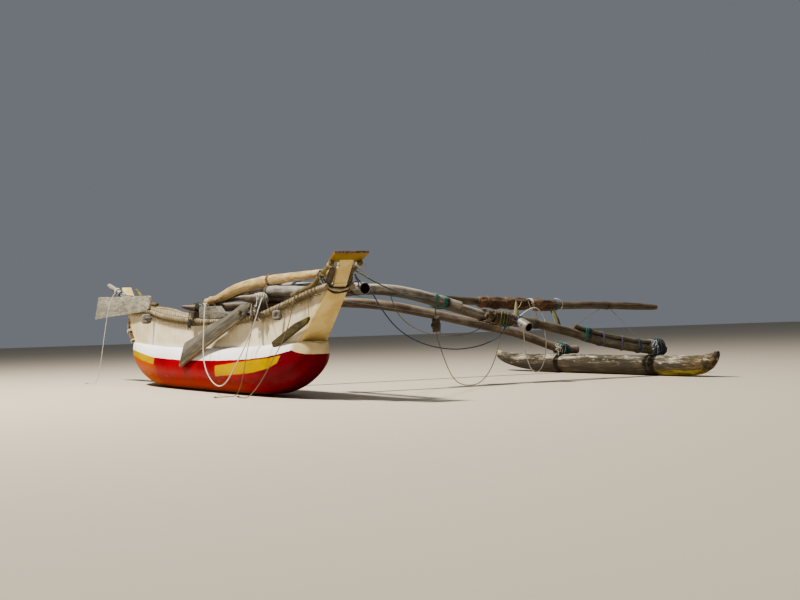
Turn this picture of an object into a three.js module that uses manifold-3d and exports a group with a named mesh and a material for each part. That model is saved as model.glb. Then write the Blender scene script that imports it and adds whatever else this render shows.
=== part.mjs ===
// A double-ended outrigger canoe: a hollowed log with sewn plank sides, two lashed booms and a log float.
// Millimetres. X runs to the bow, Y to the float, Z up. The hull's centre plane is Y = 0 while the pieces
// are made, and the whole group is moved at the end so that the origin is under the middle of the canoe.
import * as THREE from 'three';
import { mergeVertices } from 'three/addons/utils/BufferGeometryUtils.js';
import Module from 'manifold-3d';

const wasm = await Module();
wasm.setup();

// Clearance between touching pieces.
const GAP = 0.3;

// Log hull.
const LOG_WALL = 38;
const LOG_FLOOR = 55;
const KEEL_FLAT = 45;
const RIM_WALL = 46;
const CAVITY_END = 2650;

// Plank sides and the rails sewn along their tops.
const STRAKE_THICK = 18;
const STRAKE_INSET = 8;
const GUNWALE_HALF = 135;
const GUNWALE_END_HALF = 104;
const RAIL_RADIUS = 31;
const RAIL_OVERRUN = 60;

// End plates, raked outwards. The bow's neck turns up more steeply from its bend.
const PLATE_FOOT_Z = 566;
const PLATE_THICK = 32;
const PLATE_FOOT_HALF = 140;
const PLATE_SHOULDER_HALF = 102;
const NECK_HALF = 63;
const NECK_TOP_HALF = 72;
const BOW_PLATE = { end: 1, footX: 2925, rake: 38, shoulder: 795, top: 872 };
const STERN_PLATE = { end: -1, footX: 2870, rake: 40, shoulder: 780, top: 1150 };
const NECK_BEND = 850;
const NECK_RAKE = 53.5;
const NECK_LONG = 330;

// Cap board on the bow head.
const CAP_X = 3722;
const CAP_Z = 1298;
const CAP_SLOPE = THREE.MathUtils.degToRad(24);
const CAP_LONG = 178.4;
const CAP_HALF = 172;
const CAP_THICK = 28;

// Booms.
const BOOM_RADIUS = 60;
const BUTT_RADIUS = 49;
const BOW_BOOM_X = 1840;
const AFT_BOOM_X = -220;
const POLE_PITCH = 2 * BOOM_RADIUS + 1;
const CHOCK_HALF = 205;
const CHOCK_WIDE = 120;
const BOW_SEAT = 1010;
const AFT_SEAT = 965;

// Float.
const FLOAT_Y = 4900;
const FLOAT_TOP = 250;

// Side board, hung on the near side, with the clearance that its swing needs.
const BOARD_THICK = 30;
const BOARD_SWING_GAP = 4;

function V(x, y, z) {
  return new THREE.Vector3(x, y, z);
}

// Turns a closed geometry into a solid for cutting.
function toSolid(geometry) {
  const bare = geometry.clone();
  bare.deleteAttribute('normal');
  bare.deleteAttribute('uv');
  const merged = mergeVertices(bare, 1e-4);
  return new wasm.Manifold(new wasm.Mesh({
    numProp: 3,
    vertProperties: new Float32Array(merged.attributes.position.array),
    triVerts: new Uint32Array(merged.index.array),
  }));
}

function fromSolid(solid) {
  const mesh = solid.getMesh();
  const geometry = new THREE.BufferGeometry();
  geometry.setAttribute('position', new THREE.BufferAttribute(new Float32Array(mesh.vertProperties), 3));
  geometry.setIndex(new THREE.BufferAttribute(new Uint32Array(mesh.triVerts), 1));
  return geometry;
}

function cut(geometry, ...tools) {
  let solid = toSolid(geometry);
  for (const tool of tools) {
    solid = solid.subtract(toSolid(tool));
  }
  return fromSolid(solid);
}

function join(first, ...others) {
  let solid = toSolid(first);
  for (const other of others) {
    solid = solid.add(toSolid(other));
  }
  return fromSolid(solid);
}

// Skins a row of closed rings, each with the same number of points, and closes both ends with a fan.
function loft(rings) {
  const count = rings[0].length;
  const points = rings.flat();
  const index = [];
  for (let r = 0; r < rings.length - 1; r++) {
    for (let i = 0; i < count; i++) {
      const a = r * count + i;
      const b = r * count + (i + 1) % count;
      index.push(a, b, b + count, a, b + count, a + count);
    }
  }
  const last = (rings.length - 1) * count;
  for (let i = 1; i < count - 1; i++) {
    index.push(0, i + 1, i);
    index.push(last, last + i, last + i + 1);
  }
  const geometry = new THREE.BufferGeometry();
  geometry.setAttribute('position', new THREE.Float32BufferAttribute(points.flatMap((p) => p.toArray()), 3));
  geometry.setIndex(index);
  return faceOutwards(geometry);
}

// Turns the faces round where the volume comes out negative.
function faceOutwards(geometry) {
  const p = geometry.attributes.position;
  const index = geometry.index.array;
  let volume = 0;
  for (let i = 0; i < index.length; i += 3) {
    const [a, b, c] = [0, 1, 2].map((k) => new THREE.Vector3().fromBufferAttribute(p, index[i + k]));
    volume += a.dot(b.cross(c));
  }
  if (volume < 0) {
    for (let i = 0; i < index.length; i += 3) {
      [index[i + 1], index[i + 2]] = [index[i + 2], index[i + 1]];
    }
  }
  return geometry;
}

// A round pole along a route. radius is a number, or a function of the share of the route from 0 to 1.
function pole(route, radius, sides = 12, steps = 24, grow = 0) {
  const curve = new THREE.CatmullRomCurve3(route, false, 'centripetal');
  const rings = [];
  for (let k = 0; k <= steps; k++) {
    const t = k / steps;
    const centre = curve.getPoint(t);
    const along = curve.getTangent(t);
    const level = Math.abs(along.z) < 0.9 ? V(0, 0, 1) : V(1, 0, 0);
    const across = new THREE.Vector3().crossVectors(level, along).normalize();
    const up = new THREE.Vector3().crossVectors(along, across).normalize();
    const r = (typeof radius === 'function' ? radius(t) : radius) + grow;
    const ring = [];
    for (let i = 0; i < sides; i++) {
      const a = 2 * Math.PI * (i + 0.5) / sides;
      ring.push(centre.clone().addScaledVector(across, r * Math.cos(a)).addScaledVector(up, r * Math.sin(a)));
    }
    rings.push(ring);
  }
  return loft(rings);
}

// A rope or cord: a round section drawn along a curve through hand-chosen points.
function rope(route, diameter, steps, sides = 8) {
  const curve = new THREE.CatmullRomCurve3(route, false, 'centripetal');
  const section = new THREE.Shape();
  for (let i = 0; i <= sides; i++) {
    const a = 2 * Math.PI * i / sides;
    const [u, v] = [diameter / 2 * Math.cos(a), diameter / 2 * Math.sin(a)];
    if (i === 0) {
      section.moveTo(u, v);
    } else {
      section.lineTo(u, v);
    }
  }
  return new THREE.ExtrudeGeometry(section, { steps, extrudePath: curve, bevelEnabled: false });
}

// A flat board: an outline in its own plane, thickened, then stood on an origin with two directions.
function board(outline, thick, origin, uDir, vDir) {
  const shape = new THREE.Shape(outline.map(([u, v]) => new THREE.Vector2(u, v)));
  const geometry = new THREE.ExtrudeGeometry(shape, { depth: thick, bevelEnabled: false });
  const u = uDir.clone().normalize();
  const n = new THREE.Vector3().crossVectors(u, vDir).normalize();
  const v = new THREE.Vector3().crossVectors(n, u);
  const frame = new THREE.Matrix4().makeBasis(u, v, n).setPosition(origin);
  return geometry.applyMatrix4(frame);
}

function box(lowX, highX, lowY, highY, lowZ, highZ) {
  const geometry = new THREE.BoxGeometry(highX - lowX, highY - lowY, highZ - lowZ);
  return geometry.translate((lowX + highX) / 2, (lowY + highY) / 2, (lowZ + highZ) / 2);
}

const canoe = new THREE.Group();

function add(name, geometry, finish) {
  const material = new THREE.MeshStandardMaterial(finish);
  const mesh = new THREE.Mesh(geometry, material);
  mesh.name = name;
  canoe.add(mesh);
  return mesh;
}

const FINISH = {
  redPaint: { color: 0xb8140c, roughness: 0.25, metalness: 0 },
  creamPaint: { color: 0xe6dcc0, roughness: 0.55, metalness: 0 },
  tanPaint: { color: 0xd2b988, roughness: 0.6, metalness: 0 },
  ochrePaint: { color: 0xb48c34, roughness: 0.6, metalness: 0 },
  greyWood: { color: 0x8d857a, roughness: 0.9, metalness: 0 },
  brownWood: { color: 0x6e5a46, roughness: 0.9, metalness: 0 },
  paleWood: { color: 0xcdb98f, roughness: 0.7, metalness: 0 },
  oliveWood: { color: 0x6b6240, roughness: 0.85, metalness: 0 },
  coir: { color: 0x8a7656, roughness: 1, metalness: 0 },
  darkRope: { color: 0x2b3440, roughness: 0.9, metalness: 0 },
  tealRope: { color: 0x1f8f80, roughness: 0.8, metalness: 0 },
  whiteRope: { color: 0xe4e0d2, roughness: 0.8, metalness: 0 },
  brownCloth: { color: 0x6b4638, roughness: 1, metalness: 0 },
  whitePipe: { color: 0xd8d8d2, roughness: 0.4, metalness: 0 },
};

// The log hull. Each row is half of a station: distance from amidships, height of the keel,
// half-breadth at the belly, half-breadth at the rim and height of the rim.
const LOG_STATIONS = [
  { x: 0, keel: 0, belly: 305, rimHalf: 168, rim: 500 },
  { x: 800, keel: 0, belly: 302, rimHalf: 168, rim: 503 },
  { x: 1500, keel: 8, belly: 290, rimHalf: 165, rim: 514 },
  { x: 2000, keel: 28, belly: 267, rimHalf: 160, rim: 530 },
  { x: 2400, keel: 92, belly: 232, rimHalf: 154, rim: 547 },
  { x: 2650, keel: 165, belly: 203, rimHalf: 150, rim: 558 },
  { x: 2860, keel: 255, belly: 175, rimHalf: 147, rim: 565 },
  { x: 2990, keel: 340, belly: 140, rimHalf: 120, rim: 566 },
  { x: 3070, keel: 420, belly: 92, rimHalf: 80, rim: 560 },
  { x: 3105, keel: 478, belly: 40, rimHalf: 34, rim: 550 },
];

function bothEnds(stations) {
  const astern = stations.slice(1).reverse().map((s) => ({ ...s, x: -s.x }));
  return [...astern, ...stations];
}

// Right half of a station from the keel up to the rim: one arc under the belly, one over it.
function logRing(s, shrink, floor, rimIn, rimUp) {
  const belly = s.belly - shrink;
  const keel = s.keel + floor;
  const rimHalf = s.rimHalf - rimIn;
  const rim = s.rim + rimUp;
  const flat = Math.min(KEEL_FLAT, belly * 0.3);
  const bellyZ = keel + (s.rim - keel) * 0.5;
  const half = [];
  for (let i = 0; i <= 5; i++) {
    const a = Math.PI / 2 * i / 5;
    half.push([flat + (belly - flat) * Math.sin(a), bellyZ - (bellyZ - keel) * Math.cos(a)]);
  }
  for (let i = 1; i <= 4; i++) {
    const a = Math.PI / 2 * i / 4;
    half.push([rimHalf + (belly - rimHalf) * Math.cos(a), bellyZ + (s.rim - bellyZ) * Math.sin(a)]);
  }
  if (rimUp > 0) {
    half.push([rimHalf, rim]);
  }
  const right = half.map(([y, z]) => V(s.x, y, z));
  const left = half.map(([y, z]) => V(s.x, -y, z)).reverse();
  return [...right, ...left];
}

function logOutside(grow = 0) {
  const rows = LOG_STATIONS.map((s) => ({ ...s, rim: s.rim + grow }));
  return loft(bothEnds(rows).map((s) => logRing(s, -grow, -grow, -grow, 0)));
}

function makeLog() {
  const outside = logOutside();
  const within = LOG_STATIONS.filter((s) => s.x <= CAVITY_END);
  const inside = loft(bothEnds(within).map((s) => logRing(s, LOG_WALL, LOG_FLOOR, RIM_WALL, 60)));
  return cut(outside, inside);
}

add('hull_log', makeLog(), FINISH.redPaint);

// Height of the rail's centre along the hull, lowest a little forward of amidships.
const SHEER = [
  [-3560, 1070], [-3300, 1042], [-2160, 968], [-1625, 905], [-1080, 858], [-420, 822], [0, 806], [700, 797],
  [1500, 812], [1955, 848], [2270, 892], [2580, 937], [2926, 992], [3165, 1028], [3420, 1060], [3620, 1084],
];

function sheer(x) {
  const k = Math.max(1, SHEER.findIndex(([place]) => place >= x));
  const [low, high] = [SHEER[k - 1], SHEER[k]];
  return THREE.MathUtils.mapLinear(x, low[0], high[0], low[1], high[1]);
}

// Half-breadth of the plank side's head.
function gunwaleHalf(x) {
  const share = Math.min(1, Math.abs(x) / 3400);
  return GUNWALE_HALF + (GUNWALE_END_HALF - GUNWALE_HALF) * share ** 2;
}

// How far from amidships the inner face of an end plate stands at a height.
function plateInnerX(plate, z) {
  const rake = THREE.MathUtils.degToRad(plate.rake);
  const innerX = plate.footX - PLATE_THICK * Math.sin(rake);
  const innerZ = PLATE_FOOT_Z + PLATE_THICK * Math.cos(rake);
  return innerX + (z - innerZ) / Math.tan(rake);
}

// The plank side's foot stands on the log's rim station by station, and its head leans out to the plates.
const STRAKE_TOP_ABOVE = 8;
const strakeFeet = LOG_STATIONS.filter((s) => s.x <= 2860);
const lastFoot = strakeFeet[strakeFeet.length - 1];

function headEnd(plate) {
  let x = 3400;
  for (let i = 0; i < 16; i++) {
    x = plateInnerX(plate, sheer(plate.end * x) + STRAKE_TOP_ABOVE) - 2 * GAP;
  }
  return x;
}

const footEnd = (plate) => plateInnerX(plate, lastFoot.rim + GAP) - 2 * GAP;
const BOW_HEAD_X = headEnd(BOW_PLATE);
const STERN_HEAD_X = -headEnd(STERN_PLATE);

function strakeRows() {
  const half = (footX, headX) => strakeFeet.map((s) => {
    const share = s.x / lastFoot.x;
    const footZ = s.rim + GAP + 0.2;
    const footY = s.rimHalf - STRAKE_INSET;
    return { footX: footX * share, headX: headX * share, footZ, footY };
  });
  const ahead = half(footEnd(BOW_PLATE), BOW_HEAD_X);
  const astern = half(-footEnd(STERN_PLATE), STERN_HEAD_X);
  return [...astern.slice(1).reverse(), ...ahead];
}

function makeStrake(side, grow = 0) {
  const rings = strakeRows().map((r) => {
    const headY = gunwaleHalf(r.headX);
    const headZ = sheer(r.headX) + STRAKE_TOP_ABOVE;
    return [
      V(r.footX, side * (r.footY + grow), r.footZ),
      V(r.headX, side * (headY + grow), headZ),
      V(r.headX, side * (headY - STRAKE_THICK - grow), headZ),
      V(r.footX, side * (r.footY - STRAKE_THICK - grow), r.footZ),
    ];
  });
  return loft(rings);
}

// A round rail through the same stations as the plank side's head, so that the two stay side by side.
function makeRail(side, grow = 0) {
  const heads = strakeRows().map((r) => r.headX);
  const xs = [STERN_HEAD_X - RAIL_OVERRUN, ...heads, BOW_HEAD_X + RAIL_OVERRUN];
  const rings = xs.map((x, k) => {
    const end = k === 0 || k === xs.length - 1;
    const r = (end ? 0.7 : 1) * RAIL_RADIUS + grow;
    const centreY = gunwaleHalf(x) + RAIL_RADIUS + 0.6;
    const ring = [];
    for (let i = 0; i < 12; i++) {
      const a = 2 * Math.PI * (i + 0.5) / 12;
      ring.push(V(x, side * (centreY + r * Math.cos(a)), sheer(x) + r * Math.sin(a)));
    }
    return ring;
  });
  return loft(rings);
}

// Height of the rail's flat top between its stations.
function railTop(x) {
  const xs = strakeRows().map((r) => r.headX);
  const k = xs.findIndex((v, i) => i > 0 && v >= x);
  const share = (x - xs[k - 1]) / (xs[k] - xs[k - 1]);
  const centre = THREE.MathUtils.lerp(sheer(xs[k - 1]), sheer(xs[k]), share);
  return centre + RAIL_RADIUS * Math.cos(Math.PI / 12);
}

// Cross beams between the plank sides. The stern one runs out through both sides, and its end is rounded.
const BEAM_RADIUS = 27;
const BEAMS = [
  { name: 'crossbeam_stern', x: -2000, z: 876, half: 245 },
  { name: 'crossbeam_middle', x: 820, z: 735, half: 0 },
  { name: 'crossbeam_bow', x: 2520, z: 845, half: 0 },
];

function beam(x, z, half, grow = 0) {
  return pole([V(x, -half, z), V(x, 0, z), V(x, half, z)], BEAM_RADIUS, 12, 2, grow);
}

// Inner face of the plank side at a distance from amidships and a height.
function strakeInnerY(x, z) {
  const rows = strakeRows();
  let best = Infinity;
  for (const reach of [x - BEAM_RADIUS, x, x + BEAM_RADIUS]) {
    for (const height of [z - BEAM_RADIUS, z + BEAM_RADIUS]) {
      const k = rows.findIndex((r, i) => i > 0 && Math.max(r.footX, r.headX) >= reach);
      const [p, q] = [rows[k - 1], rows[k]];
      const at = (r) => {
        const headZ = sheer(r.headX) + STRAKE_TOP_ABOVE;
        const share = (height - r.footZ) / (headZ - r.footZ);
        return r.footY + (gunwaleHalf(r.headX) - r.footY) * share;
      };
      best = Math.min(best, at(p), at(q));
    }
  }
  return best - STRAKE_THICK;
}

const strakes = { near: makeStrake(-1), far: makeStrake(1) };
for (const row of BEAMS) {
  const through = row.half > 0;
  if (through) {
    for (const key of ['near', 'far']) {
      strakes[key] = cut(strakes[key], beam(row.x, row.z, row.half, GAP));
    }
  }
  const half = through ? row.half : strakeInnerY(row.x, row.z) + STRAKE_THICK / 2;
  const bar = beam(row.x, row.z, half);
  add(row.name, through ? bar : cut(bar, makeStrake(-1, GAP), makeStrake(1, GAP)), FINISH.greyWood);
}
add('washstrake_near', strakes.near, FINISH.creamPaint);
add('washstrake_far', strakes.far, FINISH.creamPaint);
add('gunwale_rail_near', makeRail(-1), FINISH.greyWood);
add('gunwale_rail_far', makeRail(1), FINISH.greyWood);

// End plates: a tapering plank with round shoulders and a narrower neck above them.
const SHOULDER_ROUND = 34;

function plateOutline(plate) {
  const right = [
    [PLATE_FOOT_HALF + 3, -60],
    [PLATE_FOOT_HALF, 0],
    [PLATE_SHOULDER_HALF, plate.shoulder - SHOULDER_ROUND],
  ];
  for (const a of [30, 60, 90]) {
    const turn = THREE.MathUtils.degToRad(a);
    right.push([
      NECK_HALF + (PLATE_SHOULDER_HALF - NECK_HALF) * Math.cos(turn),
      plate.shoulder - SHOULDER_ROUND + SHOULDER_ROUND * Math.sin(turn),
    ]);
  }
  right.push([NECK_HALF + 1, plate.top]);
  const left = right.map(([u, v]) => [-u, v]).reverse();
  return [...right, ...left];
}

function capSlab(grow, reach) {
  const along = V(Math.cos(CAP_SLOPE), 0, Math.sin(CAP_SLOPE));
  const across = V(0, 1, 0);
  const start = V(CAP_X, 0, CAP_Z).addScaledVector(along, -grow);
  const normal = V(-Math.sin(CAP_SLOPE), 0, Math.cos(CAP_SLOPE));
  start.addScaledVector(normal, -grow);
  const half = CAP_HALF + reach;
  const long = CAP_LONG + 2 * grow + reach;
  const flare = reach > 0 ? 0 : 10;
  const outline = [[0, half - flare], [0, -half + flare], [long, -half], [long, half]];
  return board(outline, CAP_THICK + 2 * grow + reach, start, along, across);
}

// A board stood on a raked line through a place on the centre plane, its thickness inwards.
function rakedBoard(outline, end, x, z, degrees, grow) {
  const rake = THREE.MathUtils.degToRad(degrees);
  const along = V(end * Math.cos(rake), 0, Math.sin(rake));
  const inwards = V(-end * Math.sin(rake), 0, Math.cos(rake));
  const inner = V(end * x, 0, z).addScaledVector(inwards, PLATE_THICK + grow);
  const wider = outline.map(([u, v]) => [u + Math.sign(u) * grow, v]);
  return board(wider, PLATE_THICK + 2 * grow, inner, V(0, end, 0), along);
}

const makePlate = (plate, grow = 0) => rakedBoard(
  plateOutline(plate), plate.end, plate.footX, PLATE_FOOT_Z, plate.rake, grow,
);

function makeNeck(grow = 0) {
  const rake = THREE.MathUtils.degToRad(BOW_PLATE.rake);
  const x = BOW_PLATE.footX + NECK_BEND * Math.cos(rake);
  const z = PLATE_FOOT_Z + NECK_BEND * Math.sin(rake);
  const outline = [
    [NECK_HALF, -12], [NECK_TOP_HALF, NECK_LONG], [-NECK_TOP_HALF, NECK_LONG], [-NECK_HALF, -12],
  ];
  return rakedBoard(outline, 1, x, z, NECK_RAKE, grow);
}

const belowPlate = box(-4000, 4000, -400, 400, 0, lastFoot.rim + 2);
const bowPlate = join(makePlate(BOW_PLATE), makeNeck());
add('stem_plate_bow', cut(bowPlate, belowPlate, logOutside(GAP), capSlab(GAP, 300)), FINISH.tanPaint);
add('stem_plate_stern', cut(makePlate(STERN_PLATE), belowPlate, logOutside(GAP)), FINISH.tanPaint);
add('cap_board_bow', capSlab(0, 0), FINISH.ochrePaint);

// Horns: curved sticks that lie on the rails' ends and sweep up beside the neck to the cap.
const HORN_RADIUS = 23;

function makeHorn(end, side, grow = 0) {
  const y = GUNWALE_END_HALF + RAIL_RADIUS;
  const onRail = (x) => V(x, gunwaleHalf(x) + RAIL_RADIUS, sheer(end * x) + RAIL_RADIUS + HORN_RADIUS + 1);
  const route = [
    ...[2760 - 3 * grow, 2920, 3080, 3220].map(onRail),
    V(3340, y + 2, 1134), V(3450, y + 5, 1186), V(3605, y + 9, 1240), V(3800, y + 12, 1310),
  ];
  const stick = cut(pole(route, HORN_RADIUS, 10, 18, grow), capSlab(GAP, 300));
  return faceOutwards(stick.scale(end, side, 1));
}

for (const [end, name] of [[1, 'bow'], [-1, 'stern']]) {
  for (const [side, edge] of [[1, 'far'], [-1, 'near']]) {
    add(`horn_${name}_${edge}`, cut(makeHorn(end, side), makeRail(side, GAP)), FINISH.oliveWood);
  }
}

// Chocks across the rails, which the booms lie on.
const bowChockLow = railTop(BOW_BOOM_X + CHOCK_WIDE / 2) + GAP;
const aftChockLow = railTop(AFT_BOOM_X - CHOCK_WIDE / 2) + GAP;

function chock(x, low, high, grow = 0) {
  const wide = CHOCK_WIDE / 2 + grow;
  const half = CHOCK_HALF + grow;
  return box(x - wide, x + wide, -half, half, low - grow, low + high + grow);
}

// Booms. The bow boom is three poles lashed side by side with a thin pole riding on the last of them; the aft
// boom is one curved pole.
const FLOAT_SEAT = FLOAT_TOP + 55;

function yz(x, rows) {
  return rows.map(([y, z]) => V(x, y, z));
}

// A spike at the start of a pole: the radius grows from a point over a share of its length.
function spiked(share, full, blunt = 0.16) {
  return (t) => full * Math.min(1, blunt + (1 - blunt) * (t / share) ** 0.7);
}

// A share that grows smoothly from 0 to 1 between two places.
const grown = (t, low, high) => THREE.MathUtils.smoothstep(t, low, high);

const BOW_INNER = yz(BOW_BOOM_X, [
  [-400, BOW_SEAT + 22], [-210, BOW_SEAT + 3], [0, BOW_SEAT], [215, BOW_SEAT + 2],
  [700, 1066], [1110, 1092], [1500, 1064], [1950, 962], [2250, 874],
]);
const BOW_MIDDLE = yz(BOW_BOOM_X - POLE_PITCH, [
  [1380, 1084], [1700, 1028], [1950, 962], [2300, 860], [2700, 750], [3060, 692],
]);
const OUTER_RADIUS = 54;
const BOW_OUTER = yz(BOW_BOOM_X, [
  [2560, 786], [2800, 738], [3116, 688], [3683, 556], [4096, 436], [4560, 350], [4900, FLOAT_SEAT],
  [5030, FLOAT_SEAT + 4],
]);
const RIDER_RADIUS = 27;
const RIDER_ABOVE = OUTER_RADIUS + RIDER_RADIUS + 2;
const BOW_RIDER = yz(BOW_BOOM_X, [
  [3740, 542 + RIDER_ABOVE], [4096, 437 + RIDER_ABOVE], [4560, 350 + RIDER_ABOVE],
  [4880, 308 + RIDER_ABOVE], [5010, 311 + RIDER_ABOVE],
]);
const AFT_ROUTE = yz(AFT_BOOM_X, [
  [-334, AFT_SEAT + 24], [-210, AFT_SEAT + 3], [0, AFT_SEAT], [215, AFT_SEAT + 2], [900, 985],
  [1760, 990], [2306, 945], [3037, 807], [3661, 670], [4200, 545], [4560, 422], [4900, FLOAT_SEAT + 4],
  [5150, 300],
]);

const innerRadius = (t) => spiked(0.08, BUTT_RADIUS + (BOOM_RADIUS - BUTT_RADIUS) * grown(t, 0.24, 0.42))(t);
const aftRadius = (t) => spiked(0.045, BUTT_RADIUS + (BOOM_RADIUS - BUTT_RADIUS) * (grown(t, 0.1, 0.22)
  - 0.5 * grown(t, 0.7, 0.95)))(t);
const makeBowInner = (grow = 0) => pole(BOW_INNER, innerRadius, 12, 26, grow);
const makeBowMiddle = (grow = 0) => pole(BOW_MIDDLE, BOOM_RADIUS - 2, 12, 14, grow);
const makeBowOuter = (grow = 0) => pole(BOW_OUTER, OUTER_RADIUS, 12, 20, grow);
const makeBowRider = (grow = 0) => pole(BOW_RIDER, RIDER_RADIUS, 8, 10, grow);
const makeAftBoom = (grow = 0) => pole(AFT_ROUTE, aftRadius, 12, 34, grow);

add('boom_chock_bow', cut(
  chock(BOW_BOOM_X, bowChockLow, BOW_SEAT - BUTT_RADIUS + 4 - bowChockLow), makeBowInner(GAP),
), FINISH.brownWood);
add('boom_chock_aft', cut(
  chock(AFT_BOOM_X, aftChockLow, AFT_SEAT - BUTT_RADIUS + 4 - aftChockLow), makeAftBoom(GAP),
), FINISH.brownWood);
add('boom_bow_inner', makeBowInner(), FINISH.greyWood);
add('boom_bow_middle', makeBowMiddle(), FINISH.greyWood);
add('boom_bow_outer', makeBowOuter(), FINISH.brownWood);
add('boom_bow_rider', cut(makeBowRider(), makeBowOuter(GAP)), FINISH.greyWood);
add('boom_aft', makeAftBoom(), FINISH.brownWood);

// The float, a log pointed and turned up at both ends. Each row: place along the hull, height of the
// underside, height of the top and half-width.
const FLOAT_STATIONS = [
  { x: -1920, low: 222, top: 304, half: 26 },
  { x: -1820, low: 156, top: 288, half: 60 },
  { x: -1500, low: 78, top: 264, half: 100 },
  { x: -1100, low: 30, top: 253, half: 120 },
  { x: -500, low: 5, top: FLOAT_TOP, half: 132 },
  { x: 0, low: 0, top: FLOAT_TOP, half: 134 },
  { x: 1500, low: 0, top: FLOAT_TOP, half: 134 },
  { x: 2300, low: 3, top: FLOAT_TOP, half: 126 },
  { x: 2640, low: 24, top: 252, half: 110 },
  { x: 2850, low: 92, top: 272, half: 78 },
  { x: 2990, low: 208, top: 316, half: 34 },
];

function makeFloat(grow = 0) {
  const sides = 14;
  const flat = 1 / Math.cos(Math.PI / sides);
  const rings = FLOAT_STATIONS.map((s, k) => {
    const ends = k === 0 ? -grow : (k === FLOAT_STATIONS.length - 1 ? grow : 0);
    const high = ((s.top - s.low) / 2 + grow) * flat;
    const wide = s.half + grow;
    const ring = [];
    for (let i = 0; i < sides; i++) {
      const a = 2 * Math.PI * (i + 0.5) / sides;
      ring.push(V(s.x + ends, FLOAT_Y + wide * Math.sin(a), (s.top + s.low) / 2 + high * Math.cos(a)));
    }
    return ring;
  });
  return loft(rings);
}

add('outrigger_float', makeFloat(), FINISH.greyWood);

// The open end of a pipe: a round bore from the pipe's end inwards.
function bore(end, inwards, radius, deep) {
  const back = end.clone().addScaledVector(inwards, -20);
  const front = end.clone().addScaledVector(inwards, deep);
  return pole([back, end.clone().lerp(front, 0.5), front], radius, 12, 2);
}

// A pipe that lies on the far side of the bow boom, parallel to the hull, with an open mouth.
const HEAD_PIPE_RADIUS = 58;
const HEAD_PIPE_Y = 292;
const HEAD_PIPE = [
  V(1500, HEAD_PIPE_Y, 1142), V(BOW_BOOM_X, HEAD_PIPE_Y, 1126), V(2700, HEAD_PIPE_Y - 2, 1086),
  V(3520, HEAD_PIPE_Y - 4, 1056),
];
const headPipe = cut(
  pole(HEAD_PIPE, HEAD_PIPE_RADIUS, 14, 8),
  bore(HEAD_PIPE[3], V(-1, 0, 0.04), 44, 90),
  makeBowInner(GAP),
);
add('head_pipe', headPipe, FINISH.greyWood);

// A short pipe lashed across the joint of the bow boom, its mouth towards the bow and down.
const STUB_RADIUS = 55;
const STUB = [V(1862, 2958, 716), V(1964, 2974, 672), V(2066, 2990, 628)];
add('joint_pipe', cut(
  pole(STUB, STUB_RADIUS, 14, 2),
  bore(STUB[2], V(-0.91, -0.143, 0.389), 44, 80),
  makeBowOuter(GAP),
), FINISH.whitePipe);

// Spars stowed along the hull on top of the booms.
const STOWED_A = [V(1780, -20, 1092), V(BOW_BOOM_X, -20, 1091), V(2300, -18, 1078), V(2800, -16, 1060)];
const STOWED_B = [
  V(-420, 98, 1056), V(AFT_BOOM_X, 98, 1055), V(900, 96, 1080), V(BOW_BOOM_X, 96, 1102), V(2900, 92, 1098),
];
const makeStowedA = (grow = 0) => pole(STOWED_A, 57, 12, 8, grow);
const makeStowedB = (grow = 0) => pole(STOWED_B, 46, 12, 12, grow);
add('stowed_pole_near', cut(makeStowedA(), makeBowInner(GAP)), FINISH.greyWood);
add('stowed_pole_far', cut(makeStowedB(), makeBowInner(GAP), makeAftBoom(GAP)), FINISH.brownWood);

// The curved spar runs from the aft boom up to the bow neck, thickest a third of the way along.
const CURVED_SPAR = [
  V(-262, -6, 1038), V(-170, -6, 1040), V(60, -5, 1054), V(300, -4, 1080), V(560, -2, 1122),
  V(845, 0, 1157), V(1300, 2, 1186), V(1810, 4, 1206), V(2300, 8, 1214), V(2900, 14, 1219),
  V(3300, 18, 1220), V(3640, 20, 1221),
];
const sparRadius = (t) => 40 + 20 * grown(t, 0.05, 0.25) - 18 * grown(t, 0.4, 0.85);
const makeCurvedSpar = (grow = 0) => pole(CURVED_SPAR, sparRadius, 12, 26, grow);
const curvedSpar = cut(
  makeCurvedSpar(), makeAftBoom(GAP), makeStowedA(GAP), makeStowedB(GAP), makePlate(BOW_PLATE, GAP),
  makeNeck(GAP), box(3560, 4000, -200, 200, 900, 1500),
);

add('curved_spar', curvedSpar, FINISH.paleWood);

// A spar with its cloth rolled round it, lashed beside the bow boom and held up by a peg and a strut.
const FURLED_RADIUS = 44;
const SPAR_X = BOW_BOOM_X - POLE_PITCH - BOOM_RADIUS - FURLED_RADIUS - 8;
const FURLED_SPAR = [
  [1900, 990], [2268, 965], [2812, 922], [3079, 905], [3621, 872], [4253, 861], [4759, 838], [5098, 819],
].map(([y, z]) => V(SPAR_X, y, z));
const makeFurledSpar = (grow = 0) => pole(
  FURLED_SPAR, (t) => FURLED_RADIUS * (t < 0.9 ? 1 : 1 - 0.25 * (t - 0.9) / 0.1), 12, 18, grow,
);
add('furled_spar', makeFurledSpar(), FINISH.brownWood);

const CLOTH_ROLL = [
  [2640, 938], [2900, 918], [3150, 902], [3400, 886], [3620, 874],
].map(([y, z]) => V(SPAR_X, y, z));
const clothRoll = pole(CLOTH_ROLL, (t) => 62 + 12 * Math.sin(t * 19) * Math.sin(Math.PI * t), 14, 20);
const rollBore = pole([...FURLED_SPAR.slice(0, 8)], (t) => FURLED_RADIUS + 0.6, 12, 18);
add('furled_cloth', cut(clothRoll, rollBore, makeBowMiddle(GAP)), FINISH.brownCloth);

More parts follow.
